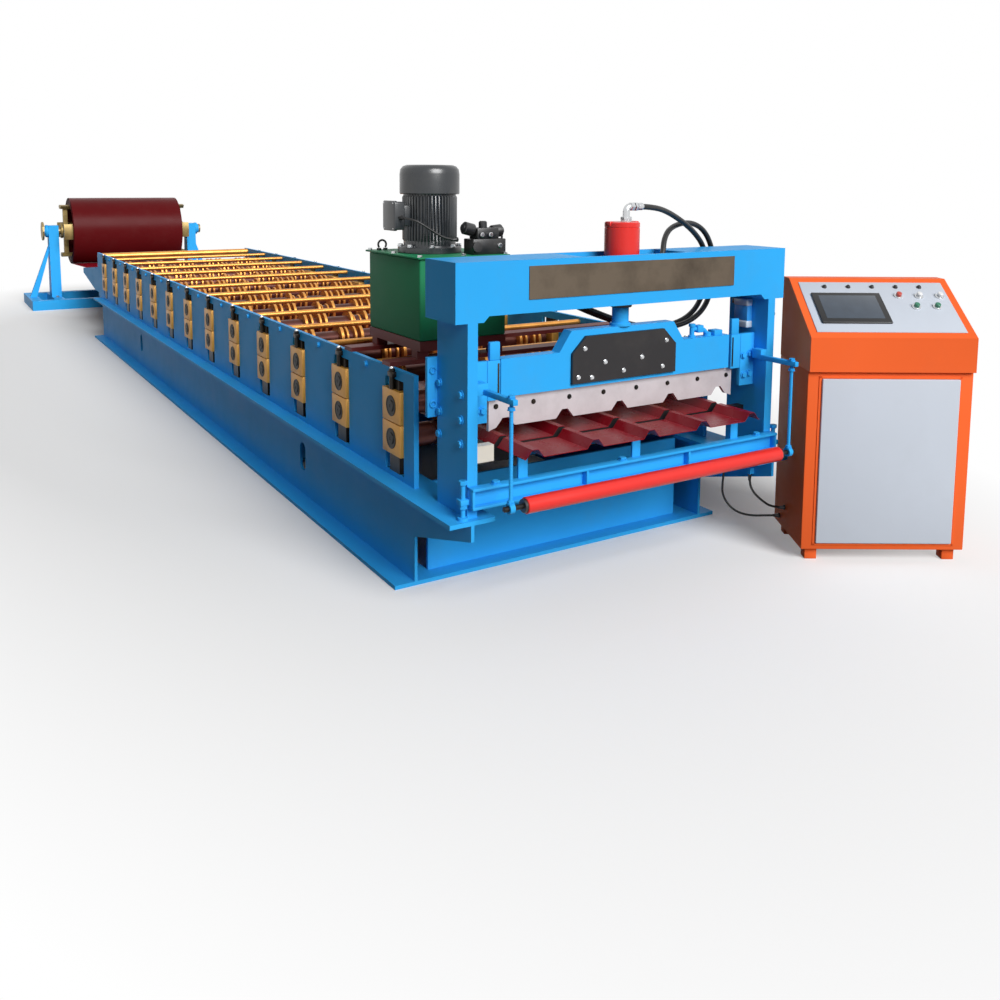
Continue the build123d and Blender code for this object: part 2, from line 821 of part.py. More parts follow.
# Cable from the motor's terminal box to the valve block
cable_z = 1120.0
valve_side = valve_y - valve_length / 2
motor_route = [
    (motor_x + box_width / 2, -495, cable_z),
    (motor_x + box_width / 2 + 40, -495, cable_z),
    (-187, -469, 1112),
    (-174, -424, 1081),
    (-162, valve_side - 40, 1050),
    (-162, valve_side, 1050),
]
save("motor_cable", hose(motor_route, motor_cable_diameter))

# Decoiler: floor frame, two posts, and a spindle with four curved coil supports
frame_half_x, frame_half_y, frame_bar = 400.0, post_y + frame_margin, 90.0
with BuildPart() as decoiler_base:
    with BuildSketch(Plane.XY):
        for side in (-1, 1):
            with Locations((decoiler_x + side * (frame_half_x - frame_bar / 2), 0)):
                Rectangle(frame_bar, 2 * frame_half_y)
            with Locations((decoiler_x, side * (frame_half_y - frame_bar / 2)), (decoiler_x, side * post_y)):
                Rectangle(2 * (frame_half_x - frame_bar), frame_bar)
    extrude(amount=frame_bar)
save("decoiler_base", decoiler_base.part)

bearing_half, post_foot = 55.0, 90.0
post_outer_face = post_y + post_thickness_y / 2
brace_half, brace_low, brace_high, brace_foot = 20.0, 520.0, 600.0, 60.0
with BuildPart() as decoiler_posts:
    for side in (-1, 1):
        with BuildSketch(Plane.XZ.offset(-side * post_y - post_thickness_y / 2)):
            with BuildLine():
                Polyline(
                    (decoiler_x - post_foot, frame_bar),
                    (decoiler_x - bearing_half, spindle_height + bearing_half),
                    (decoiler_x + bearing_half, spindle_height + bearing_half),
                    (decoiler_x + post_foot, frame_bar),
                    close=True,
                )
            make_face()
            with Locations((decoiler_x, spindle_height)):
                RegularPolygon(spindle_radius + slot_clearance, 12, major_radius=False, mode=Mode.SUBTRACT)
        extrude(amount=post_thickness_y)
        with BuildSketch(Plane.YZ.offset(decoiler_x)):
            with BuildLine():
                Polyline(
                    (side * post_outer_face, brace_low),
                    (side * post_outer_face, brace_high),
                    (side * (frame_half_y - 20), frame_bar),
                    (side * (frame_half_y - 20 - brace_foot), frame_bar),
                    close=True,
                )
            make_face()
        extrude(amount=brace_half, both=True)
save("decoiler_posts", decoiler_posts.part)

spindle_half = 760.0
arm_y = 545.0
support_thickness = 36.0
spoke_width = 40.0
spoke_end = math.sqrt((coil_bore - support_thickness) ** 2 - (spoke_width / 2) ** 2) - slot_clearance
with BuildPart() as spindle:
    with BuildSketch(Plane.XZ.offset(-spindle_half)):
        with Locations((decoiler_x, spindle_height)):
            RegularPolygon(spindle_radius, 12)
    extrude(amount=2 * spindle_half)
    for side in (-1, 1):
        with BuildSketch(Plane.XZ.offset(-side * arm_y - spoke_width / 2)):
            with Locations((decoiler_x, spindle_height)):
                Rectangle(2 * spoke_end, spoke_width)
                Rectangle(spoke_width, 2 * spoke_end)
        extrude(amount=spoke_width)
    for start, radius, length in ((spindle_half, end_disc_radius, end_disc_length),
                                  (-spindle_half + end_knob_length, end_knob_radius, end_knob_length)):
        with BuildSketch(Plane.XZ.offset(start - length)):
            with Locations((decoiler_x, spindle_height)):
                RegularPolygon(radius, 12)
        extrude(amount=length)
save("spindle", spindle.part)

support_half = 590.0
with BuildPart() as coil_supports:
    with BuildSketch(Plane.XZ.offset(-support_half)):
        with Locations((decoiler_x, spindle_height)):
            Circle(coil_bore - slot_clearance)
            Circle(coil_bore - support_thickness, mode=Mode.SUBTRACT)
            with PolarLocations(coil_bore, 4, start_angle=45):
                Rectangle(160, 240, mode=Mode.SUBTRACT)
    extrude(amount=2 * support_half)
save("coil_supports", coil_supports.part)

with BuildPart() as coil:
    with BuildSketch(Plane.XZ.offset(-flat_width / 2)):
        with Locations((decoiler_x, spindle_height)):
            Circle(coil_radius)
            Circle(coil_bore, mode=Mode.SUBTRACT)
    extrude(amount=flat_width)
save("coil", coil.part)

# Control cabinet: a cabinet with a sloping operator console on top
floor_plane = Plane(
    origin=(*cabinet_corner, 0),
    x_dir=(math.cos(math.radians(cabinet_turn)), math.sin(math.radians(cabinet_turn)), 0),
    z_dir=(0, 0, 1),
)
side_plane = Plane(origin=floor_plane.origin, x_dir=floor_plane.y_dir, z_dir=floor_plane.x_dir)
cabinet_foot, cabinet_top, console_front, console_back = 40.0, 637.0, 749.0, 915.0
with BuildPart() as cabinet_body:
    with BuildSketch(floor_plane.offset(cabinet_foot)):
        with Locations((cabinet_width / 2, cabinet_depth / 2)):
            Rectangle(cabinet_width, cabinet_depth)
    extrude(amount=cabinet_top - cabinet_foot)
    with BuildSketch(floor_plane):
        with Locations((cabinet_width / 2, cabinet_depth / 2)):
            with GridLocations(cabinet_width - 40, cabinet_depth - 40, 2, 2):
                Rectangle(40, 40)
    extrude(amount=cabinet_foot)
save("cabinet_body", cabinet_body.part)

door_margin = 45.0
with BuildPart() as cabinet_door:
    with BuildSketch(floor_plane.offset(cabinet_foot + 24)):
        with Locations((cabinet_width / 2, -5)):
            Rectangle(cabinet_width - 2 * door_margin, 10)
    extrude(amount=549)
save("cabinet_door", cabinet_door.part)

console_back_y, console_front_y = 240.0, -15.0
with BuildPart() as console_hood:
    with BuildSketch(side_plane):
        with BuildLine():
            Polyline(
                (console_front_y, cabinet_top),
                (console_front_y, console_front),
                (console_back_y, console_back),
                (cabinet_depth, console_back),
                (cabinet_depth, cabinet_top),
                close=True,
            )
        make_face()
    extrude(amount=cabinet_width)
save("console_hood", console_hood.part)

slope = math.hypot(console_back_y - console_front_y, console_back - console_front)
console_normal_turn = math.atan2(console_back - console_front, console_back_y - console_front_y)
face_y = floor_plane.y_dir * math.cos(console_normal_turn) + Vector(0, 0, 1) * math.sin(console_normal_turn)
console_plane = Plane(
    origin=floor_plane.origin + floor_plane.y_dir * console_front_y + Vector(0, 0, console_front),
    x_dir=floor_plane.x_dir,
    z_dir=floor_plane.x_dir.cross(face_y),
)
panel_sheet = 3.0
with BuildPart() as console_panel:
    with BuildSketch(console_plane):
        with Locations((cabinet_width / 2, slope / 2)):
            Rectangle(cabinet_width - 50, slope - 50)
    extrude(amount=panel_sheet)
save("console_panel", console_panel.part)

screen_width, screen_height = 0.43 * cabinet_width, 0.5 * slope
with BuildPart() as touch_screen:
    with BuildSketch(console_plane.offset(panel_sheet)):
        with Locations((0.31 * cabinet_width, 0.46 * slope)):
            Rectangle(screen_width, screen_height)
    extrude(amount=8)
save("touch_screen", touch_screen.part)

with BuildPart() as push_buttons:
    with BuildSketch(console_plane.offset(panel_sheet)):
        with Locations((0.5 * cabinet_width, 0.83 * slope)):
            with GridLocations(0.15 * cabinet_width, 1, button_count, 1):
                RegularPolygon(0.022 * cabinet_width, 12)
    extrude(amount=16)
save("push_buttons", push_buttons.part)

# Two cables from glands under the right arm to the cabinet's left side
cable_y = web_centre - web_thickness / 2 - gland_size / 2
left_face = floor_plane.origin
below_gland = gland_low - 36
for name, x, between, share, end_z in (
    ("cabinet_cable_1", cable_1_x, [(156, 577, 167), (148, 586, 128), (158, 600, 92), (190, 616, 66), (236, 640, 62)],
     0.78, 72.0),
    ("cabinet_cable_2", cable_2_x, [(298, 582, 175), (314, 608, 146)], 0.6, 120.0),
):
    end = left_face + floor_plane.y_dir * share * cabinet_depth + Vector(0, 0, end_z)
    before_end = end - floor_plane.x_dir * 45
    route = [(x, cable_y, gland_low), (x, cable_y, below_gland), *between, tuple(before_end), tuple(end)]
    save(name, hose(route, cabinet_cable_diameter))
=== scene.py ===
"""Looks of a roll forming line for roofing sheet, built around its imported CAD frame.

Shapes are drawn in millimetres in the frame's own axes: X along the feed, Y across, Z up. The property groups
hold metres, Blender's own unit.
"""

import math

import bpy
import numpy as np
from bpy.props import FloatProperty, IntProperty, PointerProperty, StringProperty
from mathutils import Matrix, Vector


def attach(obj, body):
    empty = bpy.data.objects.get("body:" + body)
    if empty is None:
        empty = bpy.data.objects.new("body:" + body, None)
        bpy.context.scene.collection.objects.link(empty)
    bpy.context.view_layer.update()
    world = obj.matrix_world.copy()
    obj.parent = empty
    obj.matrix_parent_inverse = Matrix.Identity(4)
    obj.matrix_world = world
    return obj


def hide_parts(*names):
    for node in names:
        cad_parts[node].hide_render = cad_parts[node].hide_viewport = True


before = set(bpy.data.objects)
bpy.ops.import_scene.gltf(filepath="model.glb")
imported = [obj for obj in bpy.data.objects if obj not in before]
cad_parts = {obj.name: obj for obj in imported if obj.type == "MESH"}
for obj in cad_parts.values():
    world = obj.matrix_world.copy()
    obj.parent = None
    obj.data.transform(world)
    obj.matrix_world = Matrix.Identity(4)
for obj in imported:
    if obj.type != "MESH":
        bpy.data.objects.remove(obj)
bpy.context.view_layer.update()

bl_info = {
    "name": "Roll forming line",
    "version": (1, 0, 0),
    "blender": (4, 5, 0),
    "location": "View3D > Sidebar > Roll forming",
    "description": "Dresses the packed CAD of a roll forming line for a studio render",
    "category": "Add Mesh",
}


# Shapes: each is a pair of numpy arrays, points and four-sided faces


def grid(points, wrap_u=False, wrap_v=False):
    """A surface p(u, v) given as an array of points[u, v]. Neighbours in u and v share a face, and
    a wrapped direction joins its last row to its first."""
    rows, columns = points.shape[:2]
    i = np.arange(rows if wrap_u else rows - 1)[:, None]
    j = np.arange(columns if wrap_v else columns - 1)[None, :]
    a = i * columns + j
    b = i * columns + (j + 1) % columns
    c = (i + 1) % rows * columns + (j + 1) % columns
    d = (i + 1) % rows * columns + j
    return points.reshape(-1, 3), np.stack([a, b, c, d], axis=-1).reshape(-1, 4)


def together(shapes):
    """Several shapes as one, their faces numbered on."""
    starts = np.cumsum([0] + [len(p) for p, f in shapes])
    return np.concatenate([p for p, f in shapes]), np.concatenate([f + s for (p, f), s in zip(shapes, starts)])


def placed(shape, places):
    """A copy of the shape at each place, p' = place * p, for 4 by 4 matrices."""
    points, faces = shape
    matrices = np.array([[list(row) for row in m] for m in places])
    moved = np.einsum("mij,nj->mni", matrices[:, :3, :3], points) + matrices[:, None, :3, 3]
    starts = (np.arange(len(places)) * len(points))[:, None, None]
    return moved.reshape(-1, 3), (faces[None] + starts).reshape(-1, 4)


def facing(centre, axis):
    """A place whose own Z points along axis."""
    turn = Vector((0, 0, 1)).rotation_difference(Vector(axis))
    return Matrix.Translation(centre) @ turn.to_matrix().to_4x4()


def at(*points):
    """A place at each point, turned as it is."""
    return [Matrix.Translation(point) for point in points]


def lathe(profile, sides=48):
    """Surface of revolution about Z: p(t, a) = (r(t) cos a, r(t) sin a, z(t)) for the (r, z) profile, drawn from
    its foot upwards."""
    r, z = np.array(profile, dtype=float).T
    a = np.linspace(0, 2 * math.pi, sides, endpoint=False)
    points = np.stack([r[:, None] * np.cos(a), r[:, None] * np.sin(a), z[:, None] + 0 * a], axis=-1)
    return grid(points, wrap_v=True)


def rounded_box(low, high, radius, steps=2):
    """Box with rounded edges: p(u, v) = centre + sign * (half - radius) + radius * n(u, v), where n is the
    unit sphere's point and sign the octant that it lies in."""
    low, high = np.array(low, dtype=float), np.array(high, dtype=float)
    half = (high - low) / 2
    radius = min(radius, 0.98 * half.min())
    quarter = np.linspace(0, math.pi / 2, steps + 1)
    around = np.concatenate([quarter + k * math.pi / 2 for k in range(4)])
    around_sign = np.repeat([[1, 1], [-1, 1], [-1, -1], [1, -1]], steps + 1, axis=0)
    up = np.concatenate([quarter - math.pi / 2, quarter])
    up_sign = np.repeat([-1, 1], steps + 1)
    n = np.stack([
        np.cos(up)[:, None] * np.cos(around),
        np.cos(up)[:, None] * np.sin(around),
        np.sin(up)[:, None] + 0 * around,
    ], axis=-1)
    sign = np.stack([
        around_sign[:, 0] + 0 * up[:, None],
        around_sign[:, 1] + 0 * up[:, None],
        up_sign[:, None] + 0 * around,
    ], axis=-1)
    middle = (low + high) / 2
    body = middle + sign * (half - radius) + radius * n
    pole = np.zeros((1, len(around), 3)) + [0, 0, half[2]]
    return grid(np.concatenate([middle - pole, body, middle + pole]), wrap_v=True)


def boxes(radius, *corners):
    """Rounded boxes with the same edge radius, one for each pair of corners, as one shape."""
    return together([rounded_box(low, high, radius) for low, high in corners])


def prism(outline, depth, bevel=0.0):
    """Outline (x, y), anticlockwise, carried along Z from 0 to depth. Bevelled rims shrink towards the outline's
    middle: p(s, t) = middle + (o(s) - middle) * k(t)."""
    outline = np.array(outline, dtype=float)
    middle = (outline.min(0) + outline.max(0)) / 2
    reach = np.abs(outline - middle).max()
    k = np.array([0, 1 - bevel / reach, 1, 1, 1 - bevel / reach, 0])
    z = np.array([0, 0, bevel, depth - bevel, depth, depth])
    flat = middle + (outline - middle)[None] * k[:, None, None]
    return grid(np.concatenate([flat, np.zeros((6, len(outline), 1)) + z[:, None, None]], axis=-1), wrap_v=True)


def sweep(line, radii, sides=16):
    """Round bar along a line: p(s, a) = line(s) + radius(s) (n(s) cos a + b(s) sin a), with n and b square to the
    line, closed at both ends."""
    line = np.array(line, dtype=float)
    along = np.gradient(line, axis=0)
    along /= np.linalg.norm(along, axis=1)[:, None]
    side = np.cross(along, [0.31, 0.2, 0.93])
    side /= np.linalg.norm(side, axis=1)[:, None]
    other = np.cross(along, side)
    a = np.linspace(0, 2 * math.pi, sides, endpoint=False)[None, :, None]
    radius = np.broadcast_to(radii, len(line))[:, None, None]
    tube = line[:, None] + radius * (side[:, None] * np.cos(a) + other[:, None] * np.sin(a))
    ends = [np.repeat(line[i][None, None], sides, axis=1) for i in (0, -1)]
    return grid(np.concatenate([ends[0], tube, ends[1]]), wrap_v=True)


def arc(centre, across, up, radius, start, end, count=12):
    """Points centre + radius (across cos a + up sin a), a from start to end in degrees."""
    a = np.radians(np.linspace(start, end, count))[:, None]
    return np.array(centre) + radius * (np.array(across) * np.cos(a) + np.array(up) * np.sin(a))


def hexagon(across):
    """Six corners of a hexagon, across = distance between flats."""
    a = np.arange(6) * math.pi / 3
    return across / math.sqrt(3) * np.stack([np.cos(a), np.sin(a)], axis=-1)


def bolt(across, height, washer=0.0):
    """Hexagon head on a round washer, standing on Z = 0."""
    face = 0.3 * height if washer else 0.0
    head = prism(hexagon(across), height - face, 0.12 * height)
    shapes = [(head[0] + [0, 0, face], head[1])]
    if washer:
        shapes.append(lathe([(0, 0), (washer, 0), (washer, face), (0, face)], 16))
    return together(shapes)


def piece(name, shape, material, body="root", slot=None, smooth=35.0, instead=()):
    """Makes the shape a mesh object in metres that rides on a body and stands for the CAD nodes in instead.
    Seams and poles are merged."""
    points, faces = shape
    mesh = bpy.data.meshes.new(name)
    mesh.from_pydata((points / 1000).tolist(), [], faces.tolist())
    made = bpy.data.objects.new(name, mesh)
    bpy.context.scene.collection.objects.link(made)
    weld = made.modifiers.new("weld", "WELD")
    weld.merge_threshold = 1e-5
    welded = bpy.data.meshes.new_from_object(made.evaluated_get(bpy.context.evaluated_depsgraph_get()))
    made.modifiers.clear()
    made.data = welded
    welded.shade_smooth()
    welded.set_sharp_from_angle(angle=math.radians(smooth))
    welded.materials.append(finish(material))
    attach(made, body)
    if instead:
        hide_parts(*instead)
    return made


# Materials

TOOL_LINE = 1.2  # millimetres between the lines that a tool leaves in steel


def linear(colour):
    """sRGB hex, such as "#2A86D0", to the linear colour that Blender's nodes take."""
    s = np.array([int(colour[i : i + 2], 16) / 255 for i in (1, 3, 5)])
    return (*np.where(s <= 0.04045, s / 12.92, ((s + 0.055) / 1.055) ** 2.4), 1.0)


def add(tree, kind, links=(), **settings):
    """Adds a node. Settings that name a socket set its value, others set the node; links maps a socket's
    name or number to what feeds it."""
    made = tree.nodes.new("ShaderNode" + kind)
    for key, value in settings.items():
        label = key.replace("_", " ")
        socket = next((s for s in made.inputs if s.name.lower() == label and s.enabled), None)
        if socket:
            socket.default_value = value
        else:
            setattr(made, key, value)
    for key, source in dict(links).items():
        tree.links.new(source, made.inputs[key])
    return made


def empty_material(name):
    """An empty material and its tree."""
    made = bpy.data.materials.new(name)
    made.use_nodes = True
    made.node_tree.nodes.clear()
    return made, made.node_tree


def spread(tree, source, low, high):
    """A noise's 0 to 1 carried to the range from low to high."""
    return add(tree, "MapRange", {"Value": source.outputs["Fac"]}, to_min=low, to_max=high).outputs["Result"]


def surface(tree, colour, gloss, bump, **constants):
    """The shader and the output that every finish ends in."""
    shader = add(tree, "BsdfPrincipled", {"Base Color": colour.outputs["Color"], "Roughness": gloss,
                 "Normal": bump.outputs["Normal"]}, **constants)
    add(tree, "OutputMaterial", {"Surface": shader.outputs["BSDF"]})
    return shader


def enamel(name, colour, dust="#6F6A62", roughness=0.35, peel=2.0, wear=0.25, shine=0.35):
    """Sprayed machine enamel: an even colour that drifts a little, orange peel in the gloss, dust in patches
    and a rubbed, chalky bloom. peel is the size of the orange peel in millimetres, drawn as coarse as the
    render can show."""
    made, tree = empty_material(name)
    place = add(tree, "TexCoord").outputs["Object"]
    patches = add(tree, "TexNoise", {"Vector": place}, scale=7.0, detail=6.0, roughness=0.62)
    ramp = add(tree, "MapRange", {"Value": patches.outputs["Fac"]}, from_min=0.5, from_max=0.85, to_max=wear)
    shade = add(tree, "TexNoise", {"Vector": place}, scale=1.7, detail=3.0)
    tone = add(tree, "HueSaturation", {"Value": spread(tree, shade, 0.88, 1.12)}, color=linear(colour))
    mixed = add(tree, "MixRGB", {"Fac": ramp.outputs["Result"], "Color1": tone.outputs["Color"]}, color2=linear(dust))
    gloss = spread(tree, patches, roughness - 0.1, roughness + 0.15)
    skin = add(tree, "TexNoise", {"Vector": place}, scale=1000.0 / (4 * peel), detail=2.0)
    bump = add(tree, "Bump", {"Height": skin.outputs["Fac"]}, strength=0.1, distance=0.0006)
    surface(tree, mixed, gloss, bump, specular_ior_level=shine)
    return made


def steel(name, colour, roughness=0.3, along="Z", metallic=1.0, stain=0.25, stain_colour="#5A4A3A", spots=14.0):
    """Worked steel: fine tool lines drawn out along one axis, with stains. spots is how many stains lie along a
    metre."""
    made, tree = empty_material(name)
    place = add(tree, "TexCoord").outputs["Object"]
    stretch = {"X": (0.05, 1, 1), "Y": (1, 0.05, 1), "Z": (1, 1, 0.05)}[along]
    turned = add(tree, "Mapping", {"Vector": place}, scale=stretch)
    marks = add(tree, "TexNoise", {"Vector": turned.outputs["Vector"]}, scale=1000.0 / (3 * TOOL_LINE), detail=3.0)
    stains = add(tree, "TexNoise", {"Vector": place}, scale=spots, detail=5.0, roughness=0.6)
    amount = add(tree, "MapRange", {"Value": stains.outputs["Fac"]}, from_min=0.42, from_max=0.72, to_max=stain)
    mixed = add(tree, "MixRGB", {"Fac": amount.outputs["Result"]}, color1=linear(colour), color2=linear(stain_colour))
    gloss = spread(tree, marks, roughness - 0.1, roughness + 0.12)
    bump = add(tree, "Bump", {"Height": marks.outputs["Fac"]}, strength=0.15, distance=0.0004)
    surface(tree, mixed, gloss, bump, metallic=metallic)
    return made


def moulded(name, colour, roughness=0.4, grain=1.0, bump=0.2, shine=0.5, glow=0.0):
    """Moulded plastic or rubber: one colour with a fine grain, grain millimetres across, and a gloss that
    varies with handling. glow lights it from inside, for a screen."""
    made, tree = empty_material(name)
    place = add(tree, "TexCoord").outputs["Object"]
    fine = add(tree, "TexNoise", {"Vector": place}, scale=1000.0 / (3 * grain), detail=2.0)
    worn = add(tree, "TexNoise", {"Vector": place}, scale=25.0, detail=4.0)
    tone = add(tree, "HueSaturation", {"Value": spread(tree, worn, 0.8, 1.2)}, color=linear(colour))
    gloss = spread(tree, worn, roughness - 0.1, roughness + 0.1)
    height = add(tree, "Bump", {"Height": fine.outputs["Fac"]}, strength=bump, distance=0.0003)
    shader = surface(tree, tone, gloss, height, specular_ior_level=shine, emission_strength=glow)
    if glow:
        tree.links.new(tone.outputs["Color"], shader.inputs["Emission Color"])
    return made


class PaintSettings(bpy.types.PropertyGroup):
    """Colours of the line's paints and metals."""

    blue: StringProperty(name="Frame blue", description="Enamel of the stand and base", default="#35AEF6")
    green: StringProperty(name="Tank green", description="Enamel of the oil tank", default="#268258")
    orange: StringProperty(name="Cabinet orange", description="Frame of the cabinet", default="#FF6E36")
    grey: StringProperty(name="Panel grey", description="Powder coat of the cabinet's panels", default="#CDD4DF")
    red: StringProperty(name="Red", description="Cylinder and run-out roller", default="#E8302A")
    maroon: StringProperty(name="Sheet red", description="Coated sheet", default="#8A0E1E")
    gold: StringProperty(name="Zinc gold", description="Yellow passivated rolls and bars", default="#E2A050")
    bronze: StringProperty(name="Block gold", description="Yellow passivated bearing blocks", default="#D39A44")


# How each finish is made, and what it gives the eye. A colour is a hex value or the name of a paint setting
FINISHES = {
    # Sprayed machine enamel in blue: even, with a soft gloss and a little dust
    "machine_enamel_blue": (enamel, "blue", dict(roughness=0.4, wear=0.1, shine=0.07)),
    # The same on the tank, flatter, as an undercoat looks
    "machine_enamel_green": (enamel, "green", dict(roughness=0.45, wear=0.1, shine=0.08)),
    # Cylinder and roller: satin red with a bright streak along its round
    "machine_enamel_red": (enamel, "red", dict(roughness=0.28, wear=0.06, shine=0.4)),
    # Brackets: dark red primer, dull
    "red_oxide_primer": (enamel, "#5A1614", dict(roughness=0.5)),
    # Cabinet frame: orange powder coat with its grain
    "powder_coat_orange": (enamel, "orange", dict(roughness=0.42, peel=1.2, wear=0.05, shine=0.06)),
    # Door and console: the same grain in a cool pale grey, nearly matt
    "powder_coat_grey": (enamel, "grey", dict(roughness=0.5, peel=1.2, wear=0.05, shine=0.25)),
    # Polyester coil coating on the sheet: dark red and smooth, so its flanks catch the light
    "coil_coating_red": (enamel, "maroon", dict(roughness=0.25, peel=4.0, wear=0.04, shine=0.16)),
    # The same coating on the coil, painted darker: painted shade on the coil
    "coil_coating_painted_shade": (enamel, "#5A1215", dict(roughness=0.3, peel=4.0, wear=0.04, shine=0.06)),
    # Yellow passivated zinc: gold that drifts to brown, turned across the bar
    "zinc_yellow_steel": (steel, "gold", dict(roughness=0.34, along="X", stain=0.35, metallic=0.75,
                                              stain_colour="#8A4A1E")),
    # The same on the bearing blocks, milled upright and duller
    "zinc_yellow_blocks": (steel, "bronze", dict(roughness=0.4, stain=0.35, metallic=0.35, stain_colour="#8A5A24")),
    # Tubes of the upper rolls and the lower barrels: dark red-brown, a painted reflection of the red sheet below and
    # painted shade between the rings and inside the stand, with darker blotches
    "roll_steel_painted_reflection_and_shade": (steel, "#5A2E26", dict(roughness=0.36, along="X", stain=0.6, metallic=0.55,
                                                  stain_colour="#2A1410")),
    # Decoiler arms and spindle: the same zinc gone dull and olive
    "zinc_yellow_dull": (steel, "#9A8452", dict(roughness=0.45, along="Y", stain=0.5, metallic=0.6,
                                                stain_colour="#4A4028")),
    # Screws and packers: black oxide, dark with a soft sheen
    "black_oxide_steel": (steel, "#23211F", dict(roughness=0.38, metallic=0.8, stain=0.3)),
    # Bores, lower die and roller axle: near black, nearly no light comes back. On the shallow bores and the lower die
    # this is painted shade; on the axle it is black oxide under oil
    "black_steel_and_painted_shade": (moulded, "#0E0C0B", dict(roughness=0.5, grain=2.0, shine=0.3)),
    # Bright zinc on screws and fittings, which gives the white glints
    "bright_zinc_steel": (steel, "#D2D4D6", dict(roughness=0.22, stain=0.12)),
    # Blade: ground tool steel, pale with a pinkish cast
    "ground_tool_steel": (steel, "#CFC8CB", dict(roughness=0.42, stain=0.35, metallic=0.3, stain_colour="#A39A9C")),
    # Plate on the beam: brushed stainless, brown-grey with large dark blotches, about six to a metre
    "brushed_stainless": (steel, "#6A5E50", dict(roughness=0.4, along="Y", stain=0.6, metallic=0.7,
                                                 stain_colour="#2E261E", spots=6.0)),
    # Motor casting: dark grey with a sharp sheen on the cowl's round
    "cast_iron_grey": (enamel, "#24282C", dict(roughness=0.26, peel=3.0, shine=0.8)),
    # Valves, tank trim and the roller's end rings: the same in black
    "cast_iron_black": (enamel, "#17181A", dict(peel=3.0, shine=0.7)),
    # Cover on the ram: black paint, flat enough for its bolts to stand out
    "painted_cover_black": (enamel, "#1C1A1C", dict(roughness=0.42, wear=0.12, shine=0.4)),
    # Hoses and cables: moulded rubber with a soft sheen along the round
    "hose_rubber": (moulded, "#161616", dict(roughness=0.42, grain=1.5)),
    # Limit switch, knobs and glands, filter and push buttons: smooth plastics, glossier on what fingers press
    "cream_plastic": (moulded, "#E6DCC4", dict(roughness=0.35)),
    "black_plastic": (moulded, "#141416", dict(roughness=0.35)),
    "clear_plastic": (moulded, "#C9D6E0", dict(roughness=0.2, shine=0.8)),
    "blue_plastic": (moulded, "#3AA4F0", dict(roughness=0.35)),
    "red_plastic": (moulded, "#C8402C", dict(roughness=0.25, shine=0.8)),
    "green_plastic": (moulded, "#1F7A5A", dict(roughness=0.25, shine=0.8)),
    "white_plastic": (moulded, "#F2F2F2", dict(roughness=0.25, shine=0.8)),
    # Screen: dark glass over a dim grey picture
    "screen_glass": (moulded, "#3A4450", dict(roughness=0.12, bump=0.0, shine=0.6, glow=0.25)),
}


def finish(name):
    """The material of that name, made at its first use."""
    made = bpy.data.materials.get(name)
    if not made:
        maker, colour, settings = FINISHES[name]
        if not colour.startswith("#"):
            colour = getattr(bpy.context.scene.rollform_paint, colour)
        made = maker(name, colour, **settings)
    return made


def clothe(material, *nodes):
    """Gives CAD nodes a material."""
    for name in nodes:
        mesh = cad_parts[name]
        if not mesh.material_slots:
            mesh.data.materials.append(finish(material))
        for holder in mesh.material_slots:
            holder.material = finish(material)


TO_LAMP = (0.84, 0.03, 0.54)
FRAME = 1000  # pixels across the photograph
SENSOR = 36  # millimetres


class StageSettings(bpy.types.PropertyGroup):
    """Camera and light."""

    camera_x: FloatProperty(name="Camera X", unit="LENGTH", description="Camera place", default=2.55623)
    camera_y: FloatProperty(name="Camera Y", unit="LENGTH", description="Camera place", default=-1.86111)
    camera_z: FloatProperty(name="Camera Z", unit="LENGTH", description="Camera place", default=1.23962)
    yaw: FloatProperty(name="Yaw", description="Degrees from -X towards +Y", default=31.45)
    pitch: FloatProperty(name="Pitch", description="Degrees below the horizon", default=6.52)
    roll: FloatProperty(name="Roll", description="Degrees", default=0.33)
    focal: FloatProperty(name="Focal length", description="In pixels of a 1000 pixel frame", default=953.62)
    centre_u: FloatProperty(name="Optical centre across", description="Pixel", default=492.76)
    centre_v: FloatProperty(name="Optical centre down", description="Pixel", default=290.35)
    key: FloatProperty(name="Key light", description="Strength of the broad lamp in front", default=3.5)
    sky: FloatProperty(name="Sky light", description="Light from all round, 1 is white", default=0.09)
    floor: StringProperty(name="Floor", description="Colour of the floor as it is seen", default="#FFFFFF")
    bounce: StringProperty(name="Floor bounce", description="Colour of the light off the floor", default="#505050")


class StageOperator(bpy.types.Operator):
    """Camera at the photograph's place, soft light and a pale floor"""

    bl_idname = "rollform.stage"
    bl_label = "Stage"

    def execute(self, context):
        settings = context.scene.rollform_stage
        place_camera(context.scene, settings)
        lamp = bpy.data.objects.new("key", bpy.data.lights.new("key", "SUN"))
        context.scene.collection.objects.link(lamp)
        lamp.data.energy, lamp.data.angle = settings.key, math.radians(35)
        lamp.matrix_world = Vector(TO_LAMP).to_track_quat("Z", "Y").to_matrix().to_4x4()
        lay_floor(settings)
        light_sky(context.scene, settings.sky)
        context.scene.view_settings.view_transform = "Standard"
        return {"FINISHED"}


